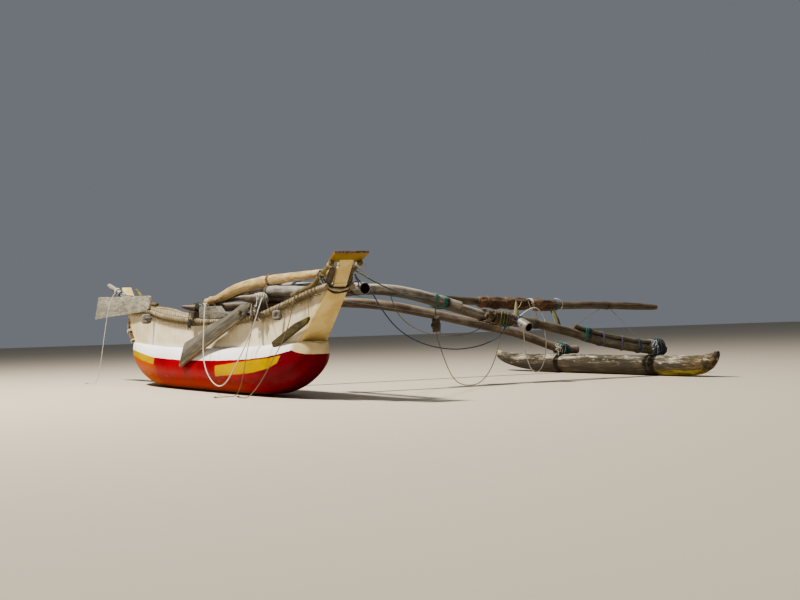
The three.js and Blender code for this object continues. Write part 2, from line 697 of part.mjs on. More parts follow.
// The peg and the strut stand on the bow boom under the furled spar.
const PEG_X = BOW_BOOM_X - 44;
const PEG_LINE = [V(PEG_X, 2985, 690), V(PEG_X, 2990, 810), V(PEG_X, 2994, 936)];
const peg = pole(PEG_LINE, (t) => 36 - 27 * t, 12, 4);
add('boom_peg', cut(peg, makeBowMiddle(GAP), makeBowOuter(GAP)), FINISH.oliveWood);
const strut = pole([V(1822, 3560, 596), V(1740, 3556, 740), V(SPAR_X + 8, 3550, 870)], 15, 10, 4);
add('spar_strut', cut(
  strut, makeBowOuter(GAP), makeFurledSpar(GAP), pole(CLOTH_ROLL, 75, 14, 20),
), FINISH.oliveWood);

// The side board: a long hewn plank on the near side that swings on a peg, in its own leaning plane.
const PEG_RADIUS = 15;
const PEG_PLAY = 0.9;
const BOARD_LEAN = THREE.MathUtils.degToRad(12.5);
const BOARD_TILT = THREE.MathUtils.degToRad(16);
const BOARD_PIVOT_X = 1500;
const railOutY = gunwaleHalf(BOARD_PIVOT_X) + 2 * RAIL_RADIUS;
const BOARD_PIVOT = V(
  BOARD_PIVOT_X,
  -(railOutY + BOARD_THICK / 2 + BOARD_SWING_GAP),
  railTop(BOARD_PIVOT_X) + PEG_RADIUS + 4,
);
const boardDown = V(0, -Math.sin(BOARD_LEAN), -Math.cos(BOARD_LEAN));
const boardNormal = V(0, -Math.cos(BOARD_LEAN), Math.sin(BOARD_LEAN));
const boardAlong = V(-Math.cos(BOARD_TILT), 0, 0).addScaledVector(boardDown, Math.sin(BOARD_TILT));
const boardAcross = new THREE.Vector3().crossVectors(boardNormal, boardAlong).normalize();
// Outline from the pivot: distance towards the blade end, distance across.
const SIDE_BOARD = [
  [-262, -24], [-246, -60], [-120, -104], [60, -92], [440, -98], [820, -142], [1000, -158], [1300, -140],
  [1752, -172], [1800, -150], [1900, 62], [1880, 92], [1547, 98], [1042, 84], [596, 76], [136, 62],
  [-190, 16],
];
const boardFace = BOARD_PIVOT.clone().addScaledVector(boardNormal, -BOARD_THICK / 2);

function alongPeg(low, high, radius, sides = 24) {
  const at = (d) => BOARD_PIVOT.clone().addScaledVector(boardNormal, d);
  return pole([at(low), at((low + high) / 2), at(high)], radius, sides, 2);
}

const plank = board(SIDE_BOARD, BOARD_THICK, boardFace, boardAlong, boardAcross);
add('side_board', cut(plank, alongPeg(-60, 60, PEG_RADIUS + PEG_PLAY)), FINISH.greyWood);

const pegShank = alongPeg(-92, 44, PEG_RADIUS);
const pegHead = alongPeg(BOARD_THICK / 2 + 7, BOARD_THICK / 2 + 32, PEG_RADIUS + 13);
add('side_board_peg', cut(join(pegShank, pegHead), makeRail(-1, GAP), makeStrake(-1, GAP)), FINISH.brownWood);

// A split block on the near rail beside the aft boom, under the curved spar.
const BLOCK_TOPS = [[-30, 112], [20, 142], [560, 138], [700, 70], [1040, 40]];

function splitBlock(grow = 0) {
  const rings = BLOCK_TOPS.map(([x, high]) => {
    const low = railTop(x) + GAP - grow;
    const top = railTop(x) + high + grow;
    return [V(x, -182 - grow, low), V(x, -182 - grow, top), V(x, -108 + grow, top), V(x, -108 + grow, low)];
  });
  return loft(rings);
}

add('split_block', cut(
  splitBlock(), makeStrake(-1, GAP), makeRail(-1, GAP), makeAftBoom(GAP),
  chock(AFT_BOOM_X, aftChockLow, AFT_SEAT - aftChockLow, GAP),
), FINISH.greyWood);

// A loose board that leans on the log's shelf near the bow.
const LOOSE_RISE = THREE.MathUtils.degToRad(14.8);
const loose = board(
  [
    [50, -44], [200, -47], [568, -37], [921, -30], [982, -8], [987, 18], [635, 49], [323, 49], [0, 33],
    [4, -10],
  ],
  26, V(2300, -168, 534), V(Math.cos(LOOSE_RISE), 0, Math.sin(LOOSE_RISE)),
  V(-Math.sin(LOOSE_RISE), 0, Math.cos(LOOSE_RISE)),
);
add('loose_board', cut(loose, logOutside(GAP)), FINISH.oliveWood);

const railNearTool = makeRail(-1, GAP);

// The steering blade, stowed on the near quarter outside the rail, with its hole at the forward end.
const BLADE_THICK = 32;
const BLADE_Y = -(gunwaleHalf(2000) + 2 * RAIL_RADIUS + 1.4);
// Outline: distance aft of the forward end, height.
const BLADE_OUTLINE = [
  [0, 1148], [70, 1168], [1500, 1196], [2560, 1222], [2790, 905], [1900, 925], [480, 978], [250, 968],
  [40, 1000], [-10, 1070],
];
const makeBlade = (grow = 0) => board(
  BLADE_OUTLINE, BLADE_THICK + 2 * grow, V(-2010, BLADE_Y + grow, 0), V(-1, 0, 0), V(0, 0, 1),
);
const bladeHole = pole([-90, 0, 60].map((y) => V(-2125, BLADE_Y + y, 1100)), 14, 12, 2);
add('steering_blade', cut(
  makeBlade(), bladeHole, railNearTool, beam(-2000, 876, 245, GAP), makeHorn(-1, -1, GAP),
), FINISH.greyWood);

// A short pale pole on the stern head that sticks out aft.
const STERN_POLE = [V(-3280, -96, 1150), V(-3600, -150, 1262), V(-3900, -205, 1362)];
const makeSternPole = (grow = 0) => pole(STERN_POLE, 36, 12, 6, grow);
add('stern_pole', cut(
  makeSternPole(), makeHorn(-1, -1, GAP), makePlate(STERN_PLATE, GAP), makeBlade(GAP),
), FINISH.paleWood);

// A bundle of rope hung at the stern plate's near edge.
const FENDER = [
  V(-3226, -94, 876), V(-3204, -108, 800), V(-3152, -116, 700), V(-3106, -112, 620), V(-3070, -106, 566),
];
const fender = pole(FENDER, (t) => 16 + 32 * Math.sin(Math.PI * Math.min(1, 0.12 + 0.86 * t)), 12, 12);
add('stern_fender', cut(
  fender, makeStrake(-1, GAP), makePlate(STERN_PLATE, GAP), railNearTool, logOutside(GAP),
), FINISH.coir);

// A wooden block hung on a rope under the bow boom.
const BLOCK_Y = 1925;
const blockHanger = pole([950, 830, 730].map((z) => V(BOW_BOOM_X, BLOCK_Y, z)), 7, 8, 2);
const makeBlockBody = (grow = 0) => pole(
  [766 + grow, 686, 606 - grow].map((z) => V(BOW_BOOM_X, BLOCK_Y, z)),
  (t) => 30 + 24 * Math.sin(Math.PI * t), 12, 6, grow,
);
add('hanging_block', cut(join(blockHanger, makeBlockBody()), makeBowInner(GAP)), FINISH.brownWood);

// A ring of rope and a bored float hung under the rail near the bow boom's butt.
function hangingRing(centre, ringRadius, tubeRadius, hangTop) {
  const profile = [];
  for (let i = 0; i <= 8; i++) {
    const a = 2 * Math.PI * i / 8;
    profile.push(new THREE.Vector2(ringRadius + tubeRadius * Math.cos(a), tubeRadius * Math.sin(a)));
  }
  const ring = new THREE.LatheGeometry(profile, 20).translate(centre.x, centre.y, centre.z);
  const top = V(centre.x, centre.y, centre.z + ringRadius);
  const halfway = V(centre.x, centre.y, (top.z + hangTop) / 2);
  return join(ring, pole([top, halfway, V(centre.x, centre.y, hangTop)], 6, 8, 2));
}

const makeRopeRing = (grow = 0) => hangingRing(
  V(1800, -(CHOCK_HALF + 5.85), 806), 40, 12 + grow, bowChockLow + 50,
);
add('rope_ring', makeRopeRing(), FINISH.coir);
const boredFloatY = -(gunwaleHalf(2450) + 2 * RAIL_RADIUS + 5.3);
add('bored_float', cut(
  hangingRing(V(2450, boredFloatY, 832), 26, 17, sheer(2450)), makeRail(-1, GAP),
), FINISH.whitePipe);

// Lashings: collars of rope round the poles. Each is an oval drawn along a short line, with the poles,
// the rails and the chocks cut out of it.
function oval(from, to, halfWide, halfHigh, sides = 20) {
  const along = to.clone().sub(from).normalize();
  const across = new THREE.Vector3().crossVectors(along, V(0, 0, 1)).normalize();
  const up = new THREE.Vector3().crossVectors(across, along);
  const steps = 6;
  const rings = [];
  for (let k = 0; k <= steps; k++) {
    const t = k / steps;
    const swell = 0.86 + 0.14 * Math.sin(Math.PI * t);
    const centre = from.clone().lerp(to, t);
    const ring = [];
    for (let i = 0; i < sides; i++) {
      const a = 2 * Math.PI * (i + 0.5) / sides;
      ring.push(centre.clone()
        .addScaledVector(across, swell * halfWide * Math.cos(a))
        .addScaledVector(up, swell * halfHigh * Math.sin(a)));
    }
    rings.push(ring);
  }
  return loft(rings);
}

function collar(from, to, halfWide, halfHigh, tools, sides) {
  return cut(oval(from, to, halfWide, halfHigh, sides), ...tools);
}

const LASHING = 17;
const buttTools = (x) => [
  makeRail(-1, GAP), makeStrake(-1, GAP),
  x === BOW_BOOM_X
    ? chock(x, bowChockLow, BOW_SEAT - BUTT_RADIUS + 4 - bowChockLow, GAP)
    : chock(x, aftChockLow, AFT_SEAT - BUTT_RADIUS + 4 - aftChockLow, GAP),
];
const bowButtOval = (grow = 0) => oval(
  V(BOW_BOOM_X, -172, BOW_SEAT + 2), V(BOW_BOOM_X, -84, BOW_SEAT), BUTT_RADIUS + LASHING + grow,
  BUTT_RADIUS + LASHING + grow,
);
add('lashing_bow_butt', cut(
  bowButtOval(), makeBowInner(GAP), makeStowedA(GAP), ...buttTools(BOW_BOOM_X),
), FINISH.coir);
add('lashing_aft_butt', collar(
  V(AFT_BOOM_X, -118, AFT_SEAT + 1), V(AFT_BOOM_X, -48, AFT_SEAT),
  BUTT_RADIUS + LASHING, BUTT_RADIUS + LASHING,
  [makeAftBoom(GAP), makeCurvedSpar(GAP), splitBlock(GAP), ...buttTools(AFT_BOOM_X)],
), FINISH.whiteRope);
const pairX = BOW_BOOM_X - POLE_PITCH / 2;
add('lashing_spar', collar(
  V(BOW_BOOM_X - POLE_PITCH, 1985, 956), V(BOW_BOOM_X - POLE_PITCH, 2075, 930), POLE_PITCH + BOOM_RADIUS + 14,
  BOOM_RADIUS + 34, [makeBowInner(GAP), makeBowMiddle(GAP), makeFurledSpar(GAP)], 28,
), FINISH.tealRope);
const jointPegTool = pole(PEG_LINE, (t) => 36.5 - 27 * t, 12, 4);
const jointCollar = (grow = 0) => oval(
  V(pairX, 2640, 767), V(pairX, 2935, 713), POLE_PITCH / 2 + BOOM_RADIUS + LASHING + grow,
  BOOM_RADIUS + LASHING + grow, 24,
);
add('lashing_joint', cut(
  jointCollar(), makeBowMiddle(GAP), makeBowOuter(GAP), jointPegTool, clothRoll.clone().translate(0, 0, -GAP),
  pole(STUB, STUB_RADIUS, 14, 2, GAP),
), FINISH.coir);
add('lashing_float_bow', collar(
  V(BOW_BOOM_X, 4800, FLOAT_SEAT + 14), V(BOW_BOOM_X, 4995, FLOAT_SEAT + 6), 92, 98,
  [makeBowOuter(GAP), makeBowRider(GAP), makeFloat(GAP)], 20,
), FINISH.darkRope);
add('lashing_float_aft', collar(
  V(AFT_BOOM_X, 4795, FLOAT_SEAT + 24), V(AFT_BOOM_X, 5000, FLOAT_SEAT + 2), 88, 88,
  [makeAftBoom(GAP), makeFloat(GAP)], 20,
), FINISH.darkRope);

// Rope slung across the front of the bow neck from horn to horn.
const swag = [
  V(3470, -168, 1205), V(3513, -152, 1132), V(3546, -108, 1066), V(3568, -62, 1048), V(3572, 0, 1045),
  V(3568, 62, 1048), V(3546, 108, 1066), V(3513, 152, 1132), V(3470, 168, 1205),
];
add('lashing_head', cut(
  pole(swag, 19, 10, 28), makePlate(BOW_PLATE, GAP), makeNeck(GAP), makeHorn(1, 1, GAP), makeHorn(1, -1, GAP),
  railNearTool, makeRail(1, GAP), makeStrake(-1, GAP), makeStrake(1, GAP),
), FINISH.darkRope);

// Free ropes. Each route runs from inside the piece that holds it, and is trimmed where it comes out.
const holder = {
  block: splitBlock(GAP),
  bowButt: bowButtOval(GAP),
  bowInner: makeBowInner(GAP),
  bowMiddle: makeBowMiddle(GAP),
  bowOuter: makeBowOuter(GAP),
  hornNear: makeHorn(1, -1, GAP),
  sternPole: makeSternPole(GAP),
  hangingBlock: makeBlockBody(GAP),
  jointLashing: jointCollar(GAP),
  jointPipe: pole(STUB, STUB_RADIUS, 14, 2, GAP),
  ropeRing: makeRopeRing(GAP),
};

const ROPES = [
  {
    name: 'rope_near_loop', diameter: 15, finish: 'whiteRope', steps: 66,
    held: ['block', 'bowButt', 'bowInner'], route: [
      [238, -150, 950], [236, -156, 990], [250, -176, 1010], [282, -200, 1000], [325, -226, 958],
      [372, -248, 900], [425, -272, 820], [485, -300, 720], [545, -326, 620], [600, -350, 520],
      [665, -372, 430], [750, -392, 345], [860, -408, 262], [1000, -418, 185], [1150, -422, 130],
      [1300, -424, 108],
      [1450, -424, 125], [1590, -422, 180], [1720, -420, 260], [1850, -416, 350], [1980, -410, 445],
      [2095, -400, 545], [2190, -385, 650], [2245, -362, 750], [2255, -330, 845], [2210, -285, 925],
      [2120, -230, 980], [2020, -180, 1010], [1940, -144, 1018], [1890, -122, 1014],
    ],
  },
  {
    name: 'rope_near_drop', diameter: 11, finish: 'coir', steps: 50, held: ['hornNear'], route: [
      [2962, -146, 1050], [2966, -170, 1060], [2972, -194, 1042], [2982, -218, 990], [2994, -240, 915],
      [2992, -262, 820], [2975, -286, 720], [2946, -308, 636], [2908, -328, 564], [2850, -345, 494],
      [2774, -360, 422], [2690, -375, 340], [2600, -388, 258], [2490, -398, 178], [2370, -404, 108],
      [2250, -408, 52], [2140, -410, 18], [2040, -410, 7], [1940, -408, 6.5], [1850, -404, 6.5],
    ],
  },
  {
    name: 'rope_near_line', diameter: 10, finish: 'coir', steps: 38, held: ['ropeRing'], route: [
      [1800, -211, 768], [1801, -214, 745], [1804, -222, 714], [1822, -250, 611], [1846, -285, 508],
      [1864, -316, 396], [1862, -338, 283], [1838, -352, 180], [1786, -362, 96], [1732, -370, 43],
      [1684, -382, 14], [1650, -406, 6], [1634, -448, 6], [1636, -500, 6], [1654, -552, 6], [1690, -596, 6],
    ],
  },
  {
    name: 'rope_stern_drop', diameter: 12, finish: 'whiteRope', steps: 48, held: ['sternPole'], route: [
      [-3636, -172, 1262], [-3638, -192, 1246], [-3642, -214, 1222], [-3648, -236, 1178], [-3654, -264, 1104],
      [-3660, -289, 1008], [-3666, -310, 900], [-3672, -330, 780], [-3678, -348, 660], [-3684, -366, 540],
      [-3690, -384, 420], [-3698, -402, 300], [-3708, -420, 190], [-3722, -440, 96], [-3744, -464, 34],
      [-3780, -494, 8], [-3830, -526, 7], [-3890, -556, 7],
    ],
  },
  {
    name: 'rope_head_sag', diameter: 15, finish: 'darkRope', steps: 62,
    held: ['bowInner', 'jointLashing'], route: [
      [1868, 1096, 1100], [1896, 1100, 1092], [1922, 1112, 1066], [1940, 1136, 1010], [1952, 1180, 928],
      [1960, 1238, 836], [1966, 1310, 742], [1969, 1400, 652], [1971, 1510, 574], [1972, 1640, 508],
      [1973, 1790, 458], [1973, 1950, 426], [1972, 2110, 413], [1970, 2270, 421], [1966, 2420, 446],
      [1958, 2550, 486], [1946, 2656, 536], [1930, 2730, 590], [1908, 2770, 644], [1882, 2780, 694],
    ],
  },
  {
    name: 'rope_boom_sag', diameter: 11, finish: 'coir', steps: 50,
    held: ['bowMiddle', 'jointLashing'], route: [
      [1738, 1420, 1054], [1734, 1432, 1020], [1730, 1448, 974], [1726, 1476, 902], [1722, 1520, 826],
      [1720, 1590, 750], [1718, 1686, 682], [1716, 1800, 626], [1714, 1930, 586], [1712, 2070, 562],
      [1710, 2210, 555], [1710, 2340, 566], [1711, 2450, 590], [1714, 2540, 624], [1718, 2610, 664],
      [1724, 2654, 706],
    ],
  },
  {
    name: 'rope_block_drop', diameter: 11, finish: 'coir', steps: 64,
    held: ['hangingBlock', 'jointLashing'], route: [
      [1840, 1925, 616], [1841, 1928, 594], [1843, 1936, 554], [1846, 1950, 498], [1850, 1970, 428],
      [1854, 1996, 348], [1858, 2026, 263], [1862, 2062, 178], [1866, 2106, 102], [1870, 2162, 45],
      [1876, 2232, 14], [1882, 2310, 6], [1888, 2390, 14], [1894, 2462, 52], [1898, 2524, 112],
      [1902, 2578, 190], [1905, 2624, 280], [1906, 2660, 380], [1904, 2688, 480], [1899, 2710, 570],
      [1890, 2726, 640], [1876, 2736, 704],
    ],
  },
  {
    name: 'rope_joint_loop', diameter: 14, finish: 'whiteRope', steps: 50,
    held: ['bowOuter', 'jointPipe'], route: [
      [1842, 3330, 616], [1845, 3331, 590], [1852, 3332, 560], [1866, 3330, 514], [1884, 3322, 446],
      [1904, 3304, 368], [1922, 3278, 290], [1938, 3244, 215], [1950, 3204, 158], [1957, 3160, 125],
      [1960, 3116, 120], [1962, 3074, 145], [1963, 3040, 200], [1964, 3014, 275], [1964, 2996, 360],
      [1964, 2985, 450], [1964, 2979, 540], [1964, 2976, 610], [1964, 2975, 650],
    ],
  },
];

for (const row of ROPES) {
  const route = row.route.map(([x, y, z]) => V(x, y, z));
  const trimmed = cut(rope(route, row.diameter, row.steps), ...row.held.map((key) => holder[key]));
  add(row.name, trimmed, FINISH[row.finish]);
}

// The origin goes under the middle of the box of everything but the free ropes.
const ropeNames = new Set(ROPES.map((row) => row.name));
const reach = new THREE.Box3();
for (const mesh of canoe.children) {
  if (!ropeNames.has(mesh.name)) {
    reach.union(new THREE.Box3().setFromBufferAttribute(mesh.geometry.attributes.position));
  }
}
const middle = reach.getCenter(V(0, 0, 0));
canoe.position.set(-middle.x, -middle.y, -reach.min.z);

export default canoe;
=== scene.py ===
# %% [markdown]
# # An outrigger canoe
# The canoe is a hollowed log with plank sides sewn on top, two lashed booms and a log float. Its solids come
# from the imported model, in metres, and they stay where they are. This lesson dresses them: it draws rounder
# and rougher skins over the plain solids, lays real rope turns where the solids have plain collars, and
# paints everything with node materials. Each cell explains one step before it is made.

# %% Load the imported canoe
import math
import random

import bmesh
import bpy
import numpy as np
from mathutils import Matrix, Vector, noise


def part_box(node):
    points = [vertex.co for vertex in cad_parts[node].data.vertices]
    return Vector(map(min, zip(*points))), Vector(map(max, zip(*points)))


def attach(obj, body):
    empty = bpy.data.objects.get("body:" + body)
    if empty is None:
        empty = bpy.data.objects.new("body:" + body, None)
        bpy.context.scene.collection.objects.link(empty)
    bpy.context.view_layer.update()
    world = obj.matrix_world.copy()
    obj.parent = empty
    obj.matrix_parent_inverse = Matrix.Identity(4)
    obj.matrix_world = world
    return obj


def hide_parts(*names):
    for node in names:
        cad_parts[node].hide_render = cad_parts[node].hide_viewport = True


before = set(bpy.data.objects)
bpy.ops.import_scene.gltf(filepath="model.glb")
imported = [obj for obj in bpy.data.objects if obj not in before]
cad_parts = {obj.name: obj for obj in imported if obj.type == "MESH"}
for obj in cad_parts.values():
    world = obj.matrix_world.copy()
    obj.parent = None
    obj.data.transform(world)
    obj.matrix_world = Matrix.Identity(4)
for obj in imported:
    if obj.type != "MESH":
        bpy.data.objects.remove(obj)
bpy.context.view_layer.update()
print("the packed canoe has", len(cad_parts), "pieces")

# %% [markdown]
# The hull is symmetric end to end, so the middle of the log's box is a handy place to measure from. Every
# table below gives places from there: x towards the bow, y towards the float, z up from the ground.

# %% Places are measured from the middle of the hull
log_low, log_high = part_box("hull_log")
HULL = Vector(((log_low.x + log_high.x) / 2, (log_low.y + log_high.y) / 2, 0.0))


def at(x, y, z):
    """A place measured from the middle of the hull, as a place in the model."""
    return Vector((x, y, z)) + HULL


def placed(name, data):
    """A new object in the scene that shows this data."""
    piece = bpy.data.objects.new(name, data)
    bpy.context.scene.collection.objects.link(piece)
    return piece


print("the middle of the hull is at", tuple(round(v, 3) for v in HULL))

# %% [markdown]
# The picture is taken from low down, off the bow and on the near side, with a lens of about 63 mm. The three
# angles turn the camera round, tip it up and roll it, and its axes are written straight into its matrix.

# %% The camera
CAMERA_PLACE = (15.51, -5.32, 0.72)
CAMERA_TURN = math.radians(153.515)
CAMERA_TIP = math.radians(0.94)
CAMERA_ROLL = math.radians(-1.704)


def camera_axes(turn, tip, roll):
    """Right, up and forward of a camera that looks along its turn and tip."""
    forward = Vector((math.cos(turn) * math.cos(tip), math.sin(turn) * math.cos(tip), math.sin(tip)))
    level = Vector((math.sin(turn), -math.cos(turn), 0.0))
    upright = level.cross(forward)
    right = math.cos(roll) * level + math.sin(roll) * upright
    up = math.cos(roll) * upright - math.sin(roll) * level
    return right, up, forward


right, up, forward = camera_axes(CAMERA_TURN, CAMERA_TIP, CAMERA_ROLL)
camera_data = bpy.data.cameras.new("photo_camera")
camera_data.sensor_fit = "HORIZONTAL"
camera_data.sensor_width = 36.0
camera_data.lens = 63.0
camera_data.clip_end = 200.0
camera = placed("photo_camera", camera_data)
camera.matrix_world = Matrix((
    (right.x, up.x, -forward.x, 0.0),
    (right.y, up.y, -forward.y, 0.0),
    (right.z, up.z, -forward.z, 0.0),
    (0.0, 0.0, 0.0, 1.0),
))
camera.matrix_world.translation = at(*CAMERA_PLACE)
bpy.context.scene.camera = camera
print("camera at", tuple(round(v, 2) for v in camera.matrix_world.translation))

# %% [markdown]
# Out of doors the canoe is lit by a high sun, with much light thrown back up by pale ground. A large soft
# lamp stands for the sun, a wide one fills the shade, and a pale floor throws light back.

# %% Floor and light
floor_mesh = bpy.data.meshes.new("floor")
floor_mesh.from_pydata([(-60, -60, 0), (60, -60, 0), (60, 60, 0), (-60, 60, 0)], [], [(0, 1, 2, 3)])
floor = placed("floor", floor_mesh)
floor_finish = bpy.data.materials.new("floor_finish")
floor_finish.use_nodes = True
floor_sockets = floor_finish.node_tree.nodes["Principled BSDF"].inputs
floor_sockets["Base Color"].default_value = (0.56, 0.49, 0.39, 1)
floor_sockets["Roughness"].default_value = 0.9
floor_mesh.materials.append(floor_finish)


def lamp(name, place, target, size, power, color):
    """A square area lamp that points at a place."""
    data = bpy.data.lights.new(name, "AREA")
    data.shape = "SQUARE"
    data.size = size
    data.energy = power
    data.color = color
    piece = placed(name, data)
    piece.location = at(*place)
    piece.rotation_euler = (at(*target) - at(*place)).to_track_quat("-Z", "Y").to_euler()


lamp("sun_lamp", (-1.5, -7.0, 15.0), (0.8, 1.4, 0.5), 1.5, 5600, (1.0, 0.95, 0.86))
lamp("sky_lamp", (6.0, 2.0, 14.0), (0.8, 1.6, 0.5), 10.0, 160, (0.84, 0.92, 1.0))
lamp("bow_fill", (14.0, -3.0, 5.0), (1.5, 1.0, 0.6), 5.0, 120, (1.0, 0.97, 0.93))
world = bpy.data.worlds.new("pale_room")
world.use_nodes = True
sky_sockets = world.node_tree.nodes["Background"].inputs
sky_sockets["Color"].default_value = (0.8, 0.86, 0.94, 1)
sky_sockets["Strength"].default_value = 0.2
bpy.context.scene.world = world
bpy.context.scene.view_settings.look = "AgX - Medium High Contrast"
print("three lamps and a pale floor")

# %% [markdown]
# Long tables of stations come up again and again: the sheer, the log, the float. A smooth curve through a
# table must not swing past its values, or a keel would dip under the ground. This one never does.

# %% Smooth rows and smooth paths
def smooth_row(xs, ys):
    """A smooth function through a table's values that doesn't overshoot them."""
    xs, ys = np.array(xs, float), np.array(ys, float)
    h = np.diff(xs)
    d = np.diff(ys) / h
    m = np.zeros_like(ys)
    same = d[:-1] * d[1:] > 0
    m[1:-1][same] = 2 * d[:-1][same] * d[1:][same] / (d[:-1] + d[1:])[same]
    m[0], m[-1] = d[0], d[-1]

    def value(x):
        k = int(np.clip(np.searchsorted(xs, x) - 1, 0, len(h) - 1))
        t = (x - xs[k]) / h[k]
        a = (1 + 2 * t) * (1 - t) ** 2 * ys[k] + t * (1 - t) ** 2 * h[k] * m[k]
        return a + t * t * (3 - 2 * t) * ys[k + 1] + t * t * (t - 1) * h[k] * m[k + 1]

    return value


def smooth_path(points, step):
    """A curve through points, as places about a step apart. Unequal spacing doesn't make it loop."""
    p = [Vector(q) for q in points]
    p = [2 * p[0] - p[1]] + p + [2 * p[-1] - p[-2]]
    path = []
    for i in range(1, len(p) - 2):
        knots = [0.0]
        for a, b in zip(p[i - 1:i + 2], p[i:i + 3]):
            knots.append(knots[-1] + max((b - a).length, 1e-6) ** 0.5)
        t0, t1, t2, t3 = knots
        count = max(1, round((p[i + 1] - p[i]).length / step))
        for k in range(count):
            t = t1 + (t2 - t1) * k / count
            a1 = p[i - 1].lerp(p[i], (t - t0) / (t1 - t0))
            a2 = p[i].lerp(p[i + 1], (t - t1) / (t2 - t1))
            a3 = p[i + 1].lerp(p[i + 2], (t - t2) / (t3 - t2))
            b1 = a1.lerp(a2, (t - t0) / (t2 - t0))
            b2 = a2.lerp(a3, (t - t1) / (t3 - t1))
            path.append(b1.lerp(b2, (t - t1) / (t2 - t1)))
    path.append(p[-2])
    return path


def shares(path):
    """How far along a path each of its places is, from 0 to 1, and its whole length."""
    run = [0.0]
    for a, b in zip(path, path[1:]):
        run.append(run[-1] + (b - a).length)
    return [r / run[-1] for r in run], run[-1]


def through(places, step):
    """A smooth path through places measured from the middle of the hull."""
    return smooth_path([at(*p) for p in places], step)


print("a smooth row at the middle of 0, 1, 1:", smooth_row([0, 1, 2], [0, 1, 1])(1.5))

# %% [markdown]
# A skin is drawn through rings of points. Each point also remembers where it lies in the wood: its offset
# from the heart of the pole and its distance along it. Grain painted from that runs along a bent pole.

# %% Skins drawn through rings
CREASE = math.radians(48)


def keep(piece, material=None, body="canoe", stands_for=()):
    """Gives a new piece its material, its body and the plain nodes that it stands for."""
    if material is not None:
        piece.data.materials.clear()
        piece.data.materials.append(material)
    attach(piece, body)
    if stands_for:
        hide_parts(*stands_for)
    return piece


def store_grain(piece, values):
    """Stores where each point lies in its wood: across, up and along."""
    layers = piece.data.attributes
    layer = layers.get("grain") or layers.new("grain", "FLOAT_VECTOR", "POINT")
    layer.data.foreach_set("vector", np.array(values, dtype=np.float32).ravel())


def new_piece(name, points, faces, values):
    """A mesh object at the origin, with the place of each point in its wood."""
    mesh = bpy.data.meshes.new(name)
    mesh.from_pydata([tuple(p) for p in points], [], faces)
    mesh.validate()
    mesh.update()
    mesh.shade_smooth()
    piece = placed(name, mesh)
    store_grain(piece, values)
    return piece


def ring_skin(name, rings):
    """Faces between rings of pairs, a place and its grain, with a fan of faces on each end."""
    count = len(rings[0])
    points = [place for ring in rings for place, _ in ring]
    values = [own for ring in rings for _, own in ring]
    faces = []
    for r in range(len(rings) - 1):
        for i in range(count):
            j = (i + 1) % count
            faces.append((r * count + i, r * count + j, (r + 1) * count + j, (r + 1) * count + i))
    for first, flip in ((0, True), ((len(rings) - 1) * count, False)):
        points.append(sum(points[first:first + count], Vector()) / count)
        own = values[first:first + count]
        values.append(tuple(sum(v[k] for v in own) / count for k in range(3)))
        hub = len(points) - 1
        for i in range(count):
            a, b = first + i, first + (i + 1) % count
            faces.append((hub, b, a) if flip else (hub, a, b))
    piece = new_piece(name, points, faces, values)
    mesh = bmesh.new()
    mesh.from_mesh(piece.data)
    bmesh.ops.recalc_face_normals(mesh, faces=mesh.faces)
    for e in mesh.edges:
        if len(e.link_faces) == 2 and e.calc_face_angle(0) > CREASE:
            e.smooth = False
    mesh.to_mesh(piece.data)
    mesh.free()
    return piece


def frames_along(path):
    """Along, across and up at each place of a path. Up stays as near to the sky as it can."""
    result = []
    for k, place in enumerate(path):
        along = (path[min(k + 1, len(path) - 1)] - path[max(k - 1, 0)]).normalized()
        level = Vector((0, 0, 1)) if abs(along.z) < 0.94 else Vector((1, 0, 0))
        across = level.cross(along).normalized()
        result.append((along, across, along.cross(across)))
    return result


def round_angles(count):
    """The angles of a ring's points."""
    return [2 * math.pi * i / count for i in range(count)]


def pole_skin(name, route, radius, step, sides, rough, knots, seed):
    """A round pole with an uneven surface and some knots. radius is a number or a function of the share."""
    rng = random.Random(seed)
    path = through(route, step)
    share, length = shares(path)
    frames = frames_along(path)
    bumps = [(rng.random(), rng.random() * 2 * math.pi, rng.uniform(0.5, 1.0)) for _ in range(knots)]
    rings = []
    shift = Vector((seed * 3.7, seed * 1.3, 0))
    for k, (place, t) in enumerate(zip(path, share)):
        along, across, up = frames[k]
        base = radius(t) if callable(radius) else radius
        rows = [(0.0, 1.0)]
        if k == 0:
            rows = [(0.0, 0.8), (0.006, 0.95), (0.016, 1.0)]
        elif k == len(path) - 1:
            rows = [(-0.016, 1.0), (-0.006, 0.95), (0.0, 0.8)]
        for ahead, part in rows:
            ring = []
            for a in round_angles(sides):
                here = Vector((math.cos(a) * 1.4, math.sin(a) * 1.4, t * length * 2.2)) + shift
                r = base * part * (1 + rough * (noise.noise(here) + 0.5 * noise.noise(here * 3.1)))
                for place_t, place_a, size in bumps:
                    far = ((t - place_t) * length / (base * 0.9)) ** 2
                    turn = (math.cos(a - place_a) - 1) * 3.0
                    r += base * 0.1 * size * math.exp(-far) * math.exp(turn)
                u, v = r * math.cos(a), r * math.sin(a)
                ring.append((place + along * ahead + across * u + up * v, (u, v, t * length + ahead)))
            rings.append(ring)
    return ring_skin(name, rings)


# %% [markdown]
# Flat pieces are already right as solids, but their edges are knife-sharp. A copy of the solid with its
# edges rounded takes its place.

